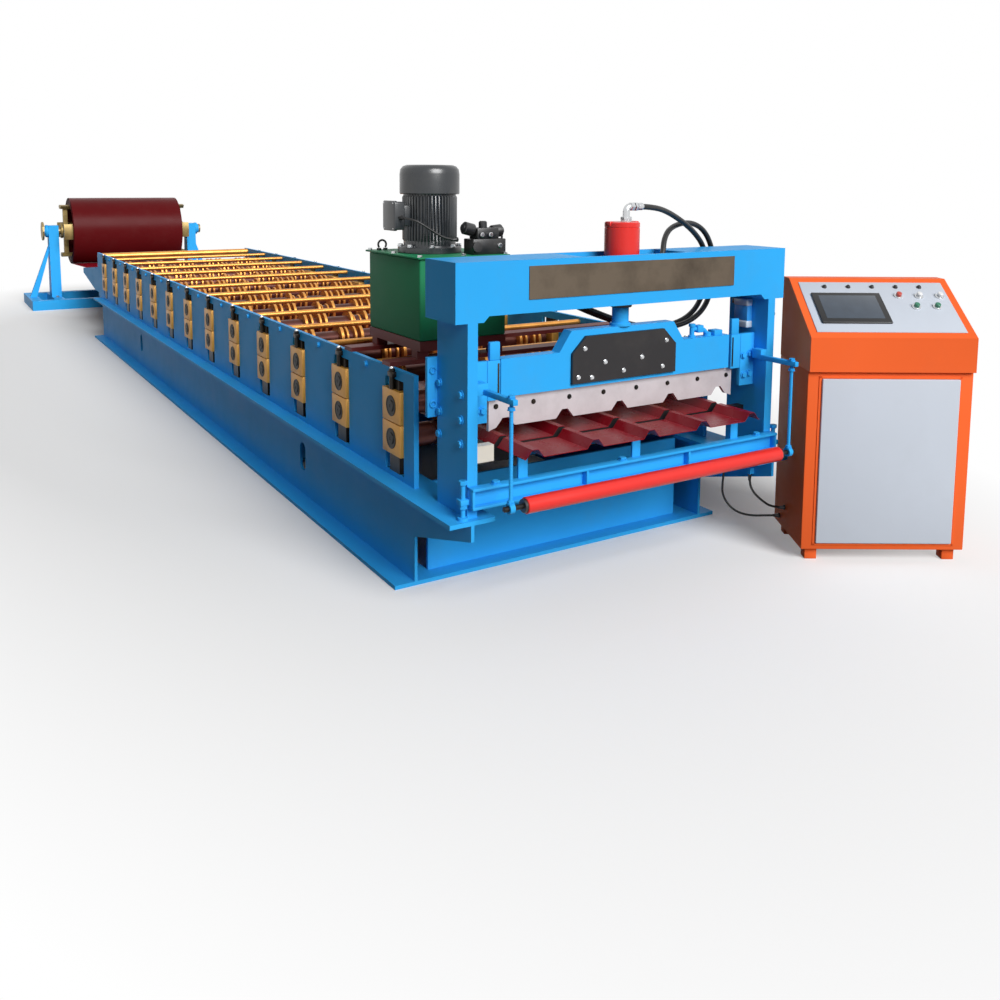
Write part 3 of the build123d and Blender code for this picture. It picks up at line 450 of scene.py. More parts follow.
def place_camera(scene, s):
    """Camera from its yaw, pitch and roll, with the shift that the photograph's framing needs."""
    yaw, pitch, roll = (math.radians(v) for v in (s.yaw, s.pitch, s.roll))
    ahead = Vector((-math.cos(yaw) * math.cos(pitch), math.sin(yaw) * math.cos(pitch), -math.sin(pitch)))
    level = ahead.cross(Vector((0, 0, 1))).normalized()
    top = level.cross(ahead)
    right = level * math.cos(roll) + top * math.sin(roll)
    up = top * math.cos(roll) - level * math.sin(roll)
    camera = bpy.data.objects.new("camera", bpy.data.cameras.new("camera"))
    scene.collection.objects.link(camera)
    turn = Matrix((right, up, -ahead)).transposed().to_4x4()
    camera.matrix_world = Matrix.Translation((s.camera_x, s.camera_y, s.camera_z)) @ turn
    camera.data.sensor_width = SENSOR
    camera.data.lens = s.focal * SENSOR / FRAME
    camera.data.shift_x = 0.5 - s.centre_u / FRAME
    camera.data.shift_y = s.centre_v / FRAME - 0.5
    camera.data.clip_end = 100
    scene.camera = camera


def lay_floor(s):
    """Flat floor z = 0 that keeps the object's shadow near it and is plain white to the camera further off."""
    u = np.linspace(-30, 30, 7)
    x, y = np.meshgrid(u, u, indexing="ij")
    points, faces = grid(np.stack([x, y, 0 * x], axis=-1))
    mesh = bpy.data.meshes.new("floor")
    mesh.from_pydata(points.tolist(), [], faces.tolist())
    floor = bpy.data.objects.new("floor", mesh)
    bpy.context.scene.collection.objects.link(floor)
    made, tree = empty_material("studio_floor")
    place = add(tree, "TexCoord").outputs["Object"]
    near = add(tree, "Mapping", {"Vector": place}, location=(0.64, 0, 0), scale=(0.172, 0.385, 1))
    reach = add(tree, "VectorMath", {0: near.outputs["Vector"]}, operation="LENGTH")
    # Within 0.66 of this ellipse's radius the floor keeps its shadow, and past 1.05 it is white
    fade = add(tree, "MapRange", {"Value": reach.outputs["Value"]}, from_min=0.66, from_max=1.05)
    seen = seen_rays(tree)
    far = add(tree, "Math", {0: seen, 1: fade.outputs["Result"]}, operation="MULTIPLY")
    pale = add(tree, "BsdfPrincipled", base_color=linear(s.floor), roughness=0.9)
    dim = add(tree, "BsdfPrincipled", base_color=linear(s.bounce), roughness=0.9)
    lit = add(tree, "MixShader", {0: seen, 1: dim.outputs["BSDF"], 2: pale.outputs["BSDF"]})
    white = add(tree, "Emission", color=(1, 1, 1, 1))
    mixed = add(tree, "MixShader", {0: far.outputs[0], 1: lit.outputs["Shader"], 2: white.outputs["Emission"]})
    add(tree, "OutputMaterial", {"Surface": mixed.outputs["Shader"]})
    mesh.materials.append(made)


def seen_rays(tree):
    """1 for the rays of the camera and of reflections, 0 for those that light the object."""
    path = add(tree, "LightPath").outputs
    seen = path["Is Camera Ray"]
    for kind in ("Glossy", "Transmission"):
        seen = add(tree, "Math", {0: seen, 1: path[f"Is {kind} Ray"]}, operation="MAXIMUM").outputs[0]
    return seen


def light_sky(scene, strength):
    """Even light from all round; the camera and reflections see it white."""
    scene.world = bpy.data.worlds.new("studio")
    scene.world.use_nodes = True
    tree = scene.world.node_tree
    tree.nodes.clear()
    level = add(tree, "MapRange", {"Value": seen_rays(tree)}, to_min=strength, to_max=1.0)
    sky = add(tree, "Background", {"Strength": level.outputs["Result"]}, color=(1, 1, 1, 1))
    add(tree, "OutputWorld", {"Surface": sky.outputs["Background"]})


# Cords: the routes of part.py in metres


CORDS = {
    "hose_upper": (0.018, 1.512, "medium", [
        (0.270, 0.045, 1.165), (0.270, 0.120, 1.165), (0.224, 0.236, 1.142), (0.186, 0.372, 1.082),
        (0.146, 0.472, 1.008), (0.122, 0.500, 0.880), (0.118, 0.445, 0.780), (0.112, 0.310, 0.745),
        (0.102, 0.170, 0.762), (0.084, 0.030, 0.812), (0.062, -0.075, 0.862), (0.036, -0.150, 0.896),
        (0.002, -0.196, 0.911), (-0.046, -0.222, 0.918), (-0.097, -0.222, 0.918),
    ]),
    "hose_lower": (0.018, 1.661, "medium", [
        (0.270, 0.074, 0.945), (0.270, 0.112, 0.945), (0.266, 0.152, 0.964), (0.256, 0.179, 1.008),
        (0.228, 0.207, 1.062), (0.190, 0.270, 1.096), (0.158, 0.378, 1.110), (0.148, 0.460, 1.080),
        (0.145, 0.506, 1.004), (0.147, 0.508, 0.908), (0.147, 0.480, 0.812), (0.145, 0.398, 0.760),
        (0.141, 0.280, 0.750), (0.134, 0.160, 0.770), (0.120, 0.040, 0.812), (0.100, -0.062, 0.858),
        (0.078, -0.140, 0.892), (0.045, -0.205, 0.918), (0.002, -0.250, 0.932), (-0.046, -0.272, 0.937),
        (-0.097, -0.272, 0.937),
    ]),
    "motor_cable": (0.008, 0.231, "medium", [
        (-0.255, -0.495, 1.120), (-0.215, -0.495, 1.120), (-0.187, -0.469, 1.112), (-0.174, -0.424, 1.081),
        (-0.162, -0.374, 1.050), (-0.162, -0.334, 1.050),
    ]),
    "cabinet_cable_1": (0.008, 0.352, "medium", [
        (0.165, 0.572, 0.242), (0.165, 0.572, 0.206), (0.156, 0.577, 0.167), (0.148, 0.586, 0.128),
        (0.158, 0.600, 0.092), (0.190, 0.616, 0.066), (0.236, 0.640, 0.062), (0.2824, 0.6722, 0.072),
        (0.3059, 0.7106, 0.072),
    ]),
    "cabinet_cable_2": (0.008, 0.203, "medium", [
        (0.288, 0.572, 0.242), (0.288, 0.572, 0.206), (0.298, 0.582, 0.175), (0.314, 0.608, 0.146),
        (0.3285, 0.6440, 0.120), (0.3519, 0.6824, 0.120),
    ]),
}


class CordsOperator(bpy.types.Operator):
    """Hydraulic hoses with their ferrules, and the cables with their strain reliefs"""

    bl_idname = "rollform.cords"
    bl_label = "Hoses and cables"

    def execute(self, context):
        # Crimped ferrule: a nut, a groove and a sleeve with four crimps
        ferrule = together([
            prism(hexagon(25), 9, 1.2),
            lathe([(0, 8), (9.6, 8), (9.6, 11), (11.6, 12), (11.6, 17), (10.8, 18), (11.6, 19), (11.6, 24), (10.8, 25),
                   (11.6, 26), (11.6, 31), (10.2, 33), (0, 33)], 24),
        ])
        # Tapered strain relief with a gland nut
        relief = together([
            prism(hexagon(15), 6, 1),
            lathe([(0, 5), (6.4, 5), (6.4, 8), (5.8, 9), (6.0, 12), (5.4, 13), (5.6, 16), (5.0, 17), (5.1, 20),
                   (4.6, 25), (0, 25)], 20),
        ])
        for name, (diameter, length, stiffness, route) in CORDS.items():
            hose = name.startswith("hose")
            fitting, material = (ferrule, "bright_zinc_steel") if hose else (relief, "black_plastic")
            for end, start, after in (("start", route[0], route[1]), ("end", route[-1], route[-2])):
                place = facing(Vector(start) * 1000, Vector(after) - Vector(start))
                piece(f"{name}_{end}_fitting", placed(fitting, [place]), material)
            cord(name, route, diameter)
        return {"FINISHED"}


def cord(name, route, diameter):
    """Round hose along a NURBS spline whose control points are the route's points."""
    curve = bpy.data.curves.new(name + "_rubber", "CURVE")
    curve.dimensions = "3D"
    spline = curve.splines.new("NURBS")
    spline.points.add(len(route) - 1)
    spline.points.foreach_set("co", np.c_[route, np.ones(len(route))].ravel())
    spline.order_u = 3
    spline.use_endpoint_u = True
    curve.bevel_depth = diameter / 2
    curve.bevel_resolution = 4
    curve.use_fill_caps = True
    curve.materials.append(finish("hose_rubber"))
    made = bpy.data.objects.new(name + "_rubber", curve)
    bpy.context.scene.collection.objects.link(made)
    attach(made, "root")
    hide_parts(name)
    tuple(route[0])


# Roll stand

STATIONS = -5202.0 + 426.0 * np.arange(13)
PASS_HEIGHT, STRIP = 480.0, 1.6
UPPER_AXIS, LOWER_AXIS = 544.0, 440.0
ROLL_END = 547.7  # half the length of a roll
ROLL_GAP = 1.2  # between the strip and a roll
FLANK_GAP = 1.5  # between a rib's foot and a ring or ridge
RIB_PITCH, RIB_HEIGHT, RIB_BASE, RIB_CREST, EDGE_LIP = 210.0, 24.0, 30.0, 10.0, 4.0
# Stations where the centre rib starts, where it is done, and where the next pair and the outer pair are done
STATES = (-1, 8, 11, 12)


def rib_line(k):
    """Y and height of the strip's corners at station k, one trapezoid for each of five ribs. The centre rib
    rises first, then the next pair, then the outer pair. A flank keeps its developed length."""

    def at(state):
        shares = ((state - 11) / 1, (state - 8) / 3, (state + 1) / 9, (state - 8) / 3, (state - 11) / 1)
        rises = RIB_HEIGHT * np.clip(shares, 0.002, 1)
        run = np.sqrt(math.hypot(RIB_BASE - RIB_CREST, RIB_HEIGHT) ** 2 - rises**2)
        gap = np.full(5, RIB_PITCH - 2 * RIB_BASE)
        gap[-1] = EDGE_LIP
        steps = np.stack([run, np.full(5, 2 * RIB_CREST), run, gap], axis=1).ravel()
        heights = np.stack([rises, rises, 0 * rises, 0 * rises], axis=1).ravel()
        y = np.concatenate([[0, EDGE_LIP], EDGE_LIP + np.cumsum(steps)])
        return np.stack([y - y[-1] / 2, np.concatenate([[0, 0], heights])], axis=1)

    before, after = max(s for s in STATES if s <= k), min(s for s in STATES if s >= k)
    share = (k - before) / max(1, after - before)
    return (1 - share) * at(before) + share * at(after)


def rib_places(k):
    """Centre, rise and flank run of the five ribs at station k."""
    line = rib_line(k)[1:].reshape(-1)[: 2 * 20].reshape(5, 4, 2)
    return [((rib[1, 0] + rib[2, 0]) / 2, rib[1, 1], rib[1, 0] - rib[0, 0]) for rib in line]


class RollSettings(bpy.types.PropertyGroup):
    """Sizes of the forming rolls."""

    tube: FloatProperty(name="Tube radius", unit="LENGTH", description="Bare tube of an upper roll", default=0.034)
    land: FloatProperty(name="Ring width", unit="LENGTH", description="Ring beside a rib", default=0.014)
    chamfer: FloatProperty(name="Chamfer", unit="LENGTH", description="Broken edge of a ring", default=0.0014)
    sides: IntProperty(name="Sides", description="Facets round a roll", default=40)


class RollsOperator(bpy.types.Operator):
    """Turned upper rolls with their rings, one for each station, and the barrels below the strip"""

    bl_idname = "rollform.rolls"
    bl_label = "Forming rolls"

    def execute(self, context):
        s = context.scene.rollform_rolls
        tube, land, edge = 1000 * s.tube, 1000 * s.land, 1000 * s.chamfer
        lower = []
        for k, x in enumerate(STATIONS):
            name = f"upper_roll_{k + 1:02d}"
            axle = [facing((x, 0, UPPER_AXIS), (0, 1, 0))]
            bare = lathe([(0, -ROLL_END), (tube, -ROLL_END), (tube, 539.7), (18.5, 539.7), (18.5, ROLL_END),
                          (0, ROLL_END)], s.sides)
            # Parallel keys on the tube and a flatted end show how it turns
            keys = [rounded_box((x - 5, y - 24, UPPER_AXIS + tube - 2), (x + 5, y + 24, UPPER_AXIS + tube + 4), 1.5)
                    for y in (-512, 512)]
            # The tube's dark red-brown is painted reflection of the sheet and painted shade
            piece(name + "_tube", together([placed(bare, axle), *keys]), "roll_steel_painted_reflection_and_shade", name, "steel_bright", 30,
                  [name])
            rings = [lathe(profile, s.sides) for profile in ring_profiles(k, tube, land, edge)]
            piece(name + "_rings", placed(together(rings), axle), "zinc_yellow_steel", name, smooth=30)
            lower.append(placed(lathe(lower_profile(k, edge), s.sides), [facing((x, 0, LOWER_AXIS), (0, 1, 0))]))
        # The barrels' dark red-brown is painted shade inside the stand
        piece("lower_roll_barrels", together(lower), "roll_steel_painted_reflection_and_shade", slot="steel_bright", smooth=30,
              instead=["lower_rolls"])
        return {"FINISHED"}


def ring_profiles(k, tube, land, edge):
    """Closed (r, y) profiles of an upper roll's rings, four at each rib. The outer two press the pan, and the inner
    two keep under the line r = pan - rise * depth / run that follows the rib's flank."""
    pan = UPPER_AXIS - PASS_HEIGHT - STRIP / 2 - ROLL_GAP
    profiles = []
    for y, rise, run in rib_places(k):
        mouth = RIB_CREST + run + FLANK_GAP
        slope = rise / run if rise > 0.1 else 0.0
        for low, high in ((-mouth - land, -mouth), (-0.62 * mouth, -0.36 * mouth), (0.36 * mouth, 0.62 * mouth),
                          (mouth, mouth + land)):
            inside = tube - 1
            top = max(tube + 1.5, pan - slope * max(0.0, mouth - min(abs(low), abs(high))))
            profiles.append([(inside, y + low), (top - edge, y + low), (top, y + low + edge), (top, y + high - edge),
                             (top - edge, y + high), (inside, y + high), (inside, y + low)])
    return profiles


def lower_profile(k, edge):
    """(r, y) of a lower roll: a barrel with a ridge that lifts each rib, and turned grooves between them."""
    pan = PASS_HEIGHT - STRIP / 2 - ROLL_GAP - LOWER_AXIS
    profile = [(0, -ROLL_END), (pan - edge, -ROLL_END), (pan, -ROLL_END + edge)]
    for y, rise, run in rib_places(k):
        foot = RIB_CREST + run - FLANK_GAP
        peak = pan + (rise * foot / (foot + FLANK_GAP) if rise > 0.1 else 0.0)
        before = [(pan, -60), (pan - 4, -57), (pan - 4, -50), (pan, -47), (pan, -foot)]
        profile += [(r, y + d) for r, d in [*before, (peak, 0), *((r, -d) for r, d in before[::-1])]]
    return profile + [(pan, ROLL_END - edge), (pan - edge, ROLL_END), (0, ROLL_END)]


class StandSettings(bpy.types.PropertyGroup):
    """Sizes of the roll stand's fittings."""

    bore: FloatProperty(name="Bore radius", unit="LENGTH", description="Open bore in a bearing block", default=0.030)
    screw: FloatProperty(name="Screw radius", unit="LENGTH", description="Adjusting screw", default=0.008)
    tie: FloatProperty(name="Tie radius", unit="LENGTH", description="Tie bar between the plates", default=0.0118)


class StandOperator(bpy.types.Operator):
    """Tie bars, bearing blocks with their bores, adjusting screws and bolts"""

    bl_idname = "rollform.stand"
    bl_label = "Roll stand"

    def execute(self, context):
        s = context.scene.rollform_stand
        bar = lathe([(0, -584), (1000 * s.tie, -584), (1000 * s.tie, 584), (0, 584)], 24)
        between = STATIONS[1:] - 213
        places = [facing((x, 0, 640), (0, 1, 0)) for x in between]
        entry = lathe([(0, -584), (22.8, -584), (24.4, -582), (24.4, 582), (22.8, 584), (0, 584)], 32)
        piece("tie_rods", together([placed(bar, places), placed(entry, [facing((-5449, 0, 635), (0, 1, 0))])]),
              "zinc_yellow_steel", slot="zinc_yellow", instead=["tie_bars"])
        blocks = boxes(2.5, *(((x - 64.5, y - 32, low), (x + 64.5, y + 32, high))
                              for x in STATIONS for y in (-580, 580) for low, high in ((390, 491), (493, 596))))
        piece("bearing_housings", blocks, "zinc_yellow_blocks", slot="zinc_yellow", instead=["bearing_blocks"])
        bore = 1000 * s.bore
        cup = lathe([(0, 0), (bore + 3, 0), (bore + 3, 1.6), (bore, 2.2), (bore - 2, 0.6), (19, 0.6), (18, 3.4),
                     (6, 3.8), (5, 2.4), (0, 2.4)], 28)
        ends = [facing((x, side * 612, z), (0, side, 0)) for x in STATIONS for side in (-1, 1)
                for z in (UPPER_AXIS, LOWER_AXIS)]
        # The near-black cups are painted shade that stands for the deep open bores
        piece("block_bores", placed(cup, ends), "black_steel_and_painted_shade")
        rod = 1000 * s.screw
        lug = together([
            rounded_box((-17, -8, 636), (17, 8, 652), 2),
            lathe([(0, 597), (rod, 597), (rod, 662), (0, 662)], 16),
            placed(bolt(18, 9, 11), at((0, 0, 652))),
        ])
        where = at(*((x, y, 0) for x in STATIONS for y in (-608.2, 608.2)))
        piece("adjusting_screws", placed(lug, where), "black_oxide_steel")
        tips = lathe([(0, 660), (6.5, 660), (6.5, 665), (5, 668), (0, 668)], 16)
        piece("adjusting_screw_tips", placed(tips, where), "bright_zinc_steel")
        nuts = [facing((x, side * 600, 640), (0, side, 0)) for x in between for side in (-1, 1)]
        piece("plate_bolts", placed(bolt(16, 8, 11), nuts), "machine_enamel_blue")
        clothe("black_oxide_steel", "block_packers")
        return {"FINISHED"}


# Cutter

CYLINDER = 270  # X of the cylinder's axis


class CutterSettings(bpy.types.PropertyGroup):
    """Sizes of the cutter's fittings."""

    bolt: FloatProperty(name="Bolt size", unit="LENGTH", description="Across the flats", default=0.011)
    barrel: FloatProperty(name="Barrel radius", unit="LENGTH", description="Hydraulic cylinder", default=0.054)


class CutterOperator(bpy.types.Operator):
    """Cylinder with its elbow, ram cover, blade bolts, guides, limit switch and the bolts of the posts"""

    bl_idname = "rollform.cutter"
    bl_label = "Cutter"

    def execute(self, context):
        s = context.scene.rollform_cutter
        size, r = 1000 * s.bolt, 1000 * s.barrel
        x = CYLINDER
        axis = at((x, 0, 0))
        barrel = lathe([(27, 874), (r - 1, 874), (r, 875), (r, 1100), (r - 1.2, 1101), (r - 1.2, 1103), (r, 1104),
                        (r, 1116), (r - 3, 1119), (0, 1119), (0, 1106), (27, 1106), (27, 874)], 72)
        piece("cylinder_tube", placed(barrel, axis), "machine_enamel_red",
              slot="red_paint", instead=["cylinder_barrel"])
        elbow = arc((x, 29, 1151), (0, -1, 0), (0, 0, 1), 14, 0, 90)
        fittings = [
            placed(bolt(30, 16, 17), at((x, 15, 1119))),
            lathe_at([(0, 1134), (11, 1134), (11, 1152), (0, 1152)], x, 15, 24),
            sweep(elbow, 10.5),
            placed(prism(hexagon(24), 14, 1.5), [facing((x, 29, 1165), (0, 1, 0))]),
            placed(together([bolt(26, 14, 15), lathe([(0, 12), (10, 12), (10, 29), (0, 29)], 24)]),
                   [facing((x, 45, 945), (0, 1, 0))]),
        ]
        piece("cylinder_fittings", together(fittings), "bright_zinc_steel")
        tabs = boxes(3, *(((x - 12, y - 7, 1107), (x + 12, y + 7, 1121)) for y in (-50, 50)))
        piece("cylinder_tabs", tabs, "machine_enamel_red")
        gland = lathe([(26.8, 858), (33, 858), (35, 860), (35, 874), (26.8, 874), (26.8, 858)], 48)
        piece("rod_gland", placed(gland, axis), "painted_cover_black")
        collar = lathe([(25, 800), (33, 800), (33, 807), (31, 809), (25, 809), (25, 800)], 48)
        piece("rod_collar", placed(collar, axis), "machine_enamel_blue", "cutter")
        head = bolt(size, 6, 0.66 * size)
        cover = [(-183, 660), (-133, 655), (-83, 698), (-11, 665), (61, 700), (146, 663), (-160, 745), (160, 745)]
        piece("cover_bolts", placed(head, [facing((304, y, z), (1, 0, 0)) for y, z in cover]), "bright_zinc_steel",
              "cutter")
        outline = [(-203, 640), (203, 640), (203, 732), (153, 782), (-153, 782), (-203, 732)]
        shape, faces = prism(outline, 12, 1.6)
        piece("cover_plate", (shape[:, [2, 0, 1]] + [292, 0, 0], faces), "painted_cover_black", "cutter", "black_plate",
              instead=["ram_cover"])
        # Low heads, because the blade passes behind the guides
        blade = [facing((276, -454 + 129.7 * i, 598), (1, 0, 0)) for i in range(8)]
        piece("blade_bolts", placed(bolt(size, 4.5, 0.7 * size), blade), "black_oxide_steel", "cutter")
        lugs = boxes(3, *(((283, y - 17, 737), (297, y + 17, 790)) for y in (-470, 470)))
        piece("guide_lugs", lugs, "machine_enamel_blue")
        # Bracket with two ring bolts on the left post's rear edge
        bracket = [rounded_box((164, -624, 565), (178.6, -578, 740), 2)]
        bracket += [sweep(arc((182, -607, z), (0, 1, 0), (0, 0, 1), 9, 0, 350, 24), 2.4, 10) for z in (604, 702)]
        piece("post_bracket", together(bracket), "machine_enamel_blue")
        # Fittings on the ram's right shoulder
        tee = [
            lathe_at([(0, 738), (12, 738), (12, 744), (8, 745), (8, 772), (11, 773), (11, 782), (0, 783)], x, 300),
            sweep([(270, 296, 764), (270, 330, 764), (270, 352, 758), (270, 366, 746), (270, 368, 736)], 7.5, 14),
            rounded_box((258, 316, 752), (282, 342, 776), 3),
            lathe_at([(0, 738), (13, 738), (13, 750), (0, 751)], x, 368),
            rounded_box((256, 384, 738), (288, 420, 756), 2),
        ]
        piece("ram_fittings", together(tee), "machine_enamel_blue", "cutter")
        # Clear air filter with a blue middle on the right post's inner face, and a knob
        bowls = [rounded_box((222, 532, low), (286, 560, low + 24), 5, 3) for low in (752, 826)]
        piece("filter_bowls", together(bowls), "clear_plastic")
        piece("filter_body", rounded_box((224, 536, 774), (284, 560, 828), 3), "blue_plastic")
        ends = boxes(3, *(((208, 540, z - 9), (223, 558, z + 9)) for z in (764, 838)))
        piece("filter_ends", ends, "black_plastic")
        knob = lathe([(0, 0), (5, 0), (5, 16), (13, 18), (14, 24), (12, 30), (0, 31)], 24)
        piece("post_knob", placed(knob, [facing((316, 592, 800), (0, 1, 0))]), "black_plastic")
        # Each guide is a long outer bar on the post and a short inner bar that the ram's edge runs behind
        bars = ((-560, -496, 560), (-495, -452.5, 622), (496, 560, 560), (452.5, 495, 622))
        guides = boxes(1.5, *(((281.5, left, low), (297.5, right, 737)) for left, right, low in bars))
        piece("guide_bars", guides, "machine_enamel_blue", slot="blue_paint", instead=["ram_guides"])
        # Thin black strips on the inner guide bars are painted shade that stands for the dark slots
        slot_shades = boxes(0.6, *(((296.8, y - 3, 630), (298.6, y + 3, 728)) for y in (-459, 459)))
        piece("guide_slot_painted_shade", slot_shades, "black_plastic")
        front = [(-537, 667), (-509, 664), (-537, 600), (-512, 597)]
        side_z = [(195, 668), (195, 585), (192, 519), (319, 656), (318, 585), (317, 517)]
        posts = [facing((297.5, side * y, z), (1, 0, 0)) for y, z in front for side in (1, -1)]
        posts += [facing((px, side * 592, z), (0, side, 0)) for px, z in side_z for side in (-1, 1)]
        piece("post_bolts", placed(bolt(18, 9, 13), posts), "machine_enamel_blue")
        clothe("machine_enamel_blue", "cutter_rod")
        clothe("ground_tool_steel", "cutter_blade")
        # The lower die's near black is painted shadow, which hides the gap under the sheet at the blade
        clothe("black_steel_and_painted_shade", "lower_die")
        clothe("brushed_stainless", "beam_plate")
        clothe("cream_plastic", "limit_switch")
        return {"FINISHED"}


# Run-out

ROLLER = (484, 0, 373)  # middle of the roller's axis


class RunoutSettings(bpy.types.PropertyGroup):
    """Sizes of the run-out roller."""

    radius: FloatProperty(name="Roller radius", unit="LENGTH", description="Tube of the roller", default=0.023)
    rod: FloatProperty(name="Rod radius", unit="LENGTH", description="Threaded hanger rod", default=0.0058)


class RunoutOperator(bpy.types.Operator):
    """Roller, its bearings and threaded hanger rods, the sill's channel and the levelling screws"""

    bl_idname = "rollform.runout"
    bl_label = "Run-out"

    def execute(self, context):
        s = context.scene.rollform_runout
        r = 1000 * s.radius
        across = [facing(ROLLER, (0, 1, 0))]
        tube = lathe([(7.6, -488), (r - 2, -488), (r, -486), (r, 486), (r - 2, 488), (7.6, 488), (7.6, -488)], 48)
        piece("roller_tube", placed(tube, across), "machine_enamel_red", "runout_roller", "red_paint",
              instead=["runout_roller"])
        axle = lathe([(0, -556), (6.6, -556), (7.6, -555), (7.6, -487), (0, -487)], 24)
        ring = lathe([(7.6, -496), (r - 5, -496), (r - 4, -495), (r - 4, -488), (7.6, -488), (7.6, -496)], 32)
        ends = [*across, facing(ROLLER, (0, -1, 0))]
        piece("roller_axle", placed(axle, ends), "black_steel_and_painted_shade", "runout_roller")
        piece("roller_end_rings", placed(ring, ends), "cast_iron_black", "runout_roller")
        # Thread: every other point of the rod's profile lies 0.7 mm deeper
        x, rod, hangers = ROLLER[0], 1000 * s.rod, []
        turns = np.arange(388, 664, 2.0)
        thread = [(0, 388), *((rod - 0.7 * (i % 2), z) for i, z in enumerate(turns)), (0, 663)]
        eye = lathe([(8.6, -8), (14, -8), (15, -7), (15, 7), (14, 8), (8.6, 8), (8.6, -8)], 32)
        for y, near, far in ((-534, -560, -526), (534, 534, 560)):
            hangers += [
                lathe_at(thread, x, y, 12),
                placed(eye, [facing((x, y, ROLLER[2]), (0, 1, 0))]),
                placed(bolt(17, 9, 11), at(*((x, y, z) for z in (386, 640, 672)))),
                rounded_box((353, y - 8, 656), (505, y + 8, 672), 2),
                rounded_box((313, near, 656), (353, far, 688), 1),
            ]
        piece("hanger_rods", together(hangers), "machine_enamel_blue", slot="blue_paint", instead=["roller_hangers"])
        # Channel between the posts, with a rail under the sheet's edge on short posts
        channel = [
            boxes(1.5, *(((353, -592, low), (385, 592, low + 8)) for low in (397, 345))),
            boxes(1, ((353, -592, 345), (361, 592, 405)), ((353, -430, 468), (361, 430, 478.8)),
                  *(((353, y - 16, 403), (361, y + 16, 470)) for y in (-414, 0, 414)),
                  *(((360, y - 4, 350), (383, y + 4, 400)) for y in (-588, -200, 200, 588))),
            placed(bolt(20, 10, 14), at(*((369, y, 405) for y in (-510, -60, 510)))),
        ]
        piece("sill_channel", together(channel), "machine_enamel_blue", slot="blue_paint", instead=["runout_sill"])
        screw = together([
            lathe([(0, 313), (7, 313), (7, 425), (0, 425)], 16),
            lathe([(0, 313), (15, 313), (15, 321), (0, 322)], 20),
            placed(bolt(22, 12), at((0, 0, 345), (0, 0, 413))),
        ])
        lugs = boxes(2, *(((340, y - 14, 357), (366, y + 14, 373)) for y in (-606, 606)))
        feet = at((353, -606, 0), (353, 606, 0))
        piece("levelling_screws", together([placed(screw, feet), lugs]), "machine_enamel_blue")
        return {"FINISHED"}


# Power pack

LID = 1001  # height of the tank lid's upper face
MOTOR = (-300, -365)  # X and Y of the motor's axis


class PackSettings(bpy.types.PropertyGroup):
    """Sizes of the hydraulic power pack."""

    corner: FloatProperty(name="Tank corner", unit="LENGTH", description="Fold radius of the tank", default=0.006)
    fins: IntProperty(name="Fins", description="Cooling fins round the motor", default=48)
    fin: FloatProperty(name="Fin height", unit="LENGTH", description="Height of a cooling fin", default=0.007)


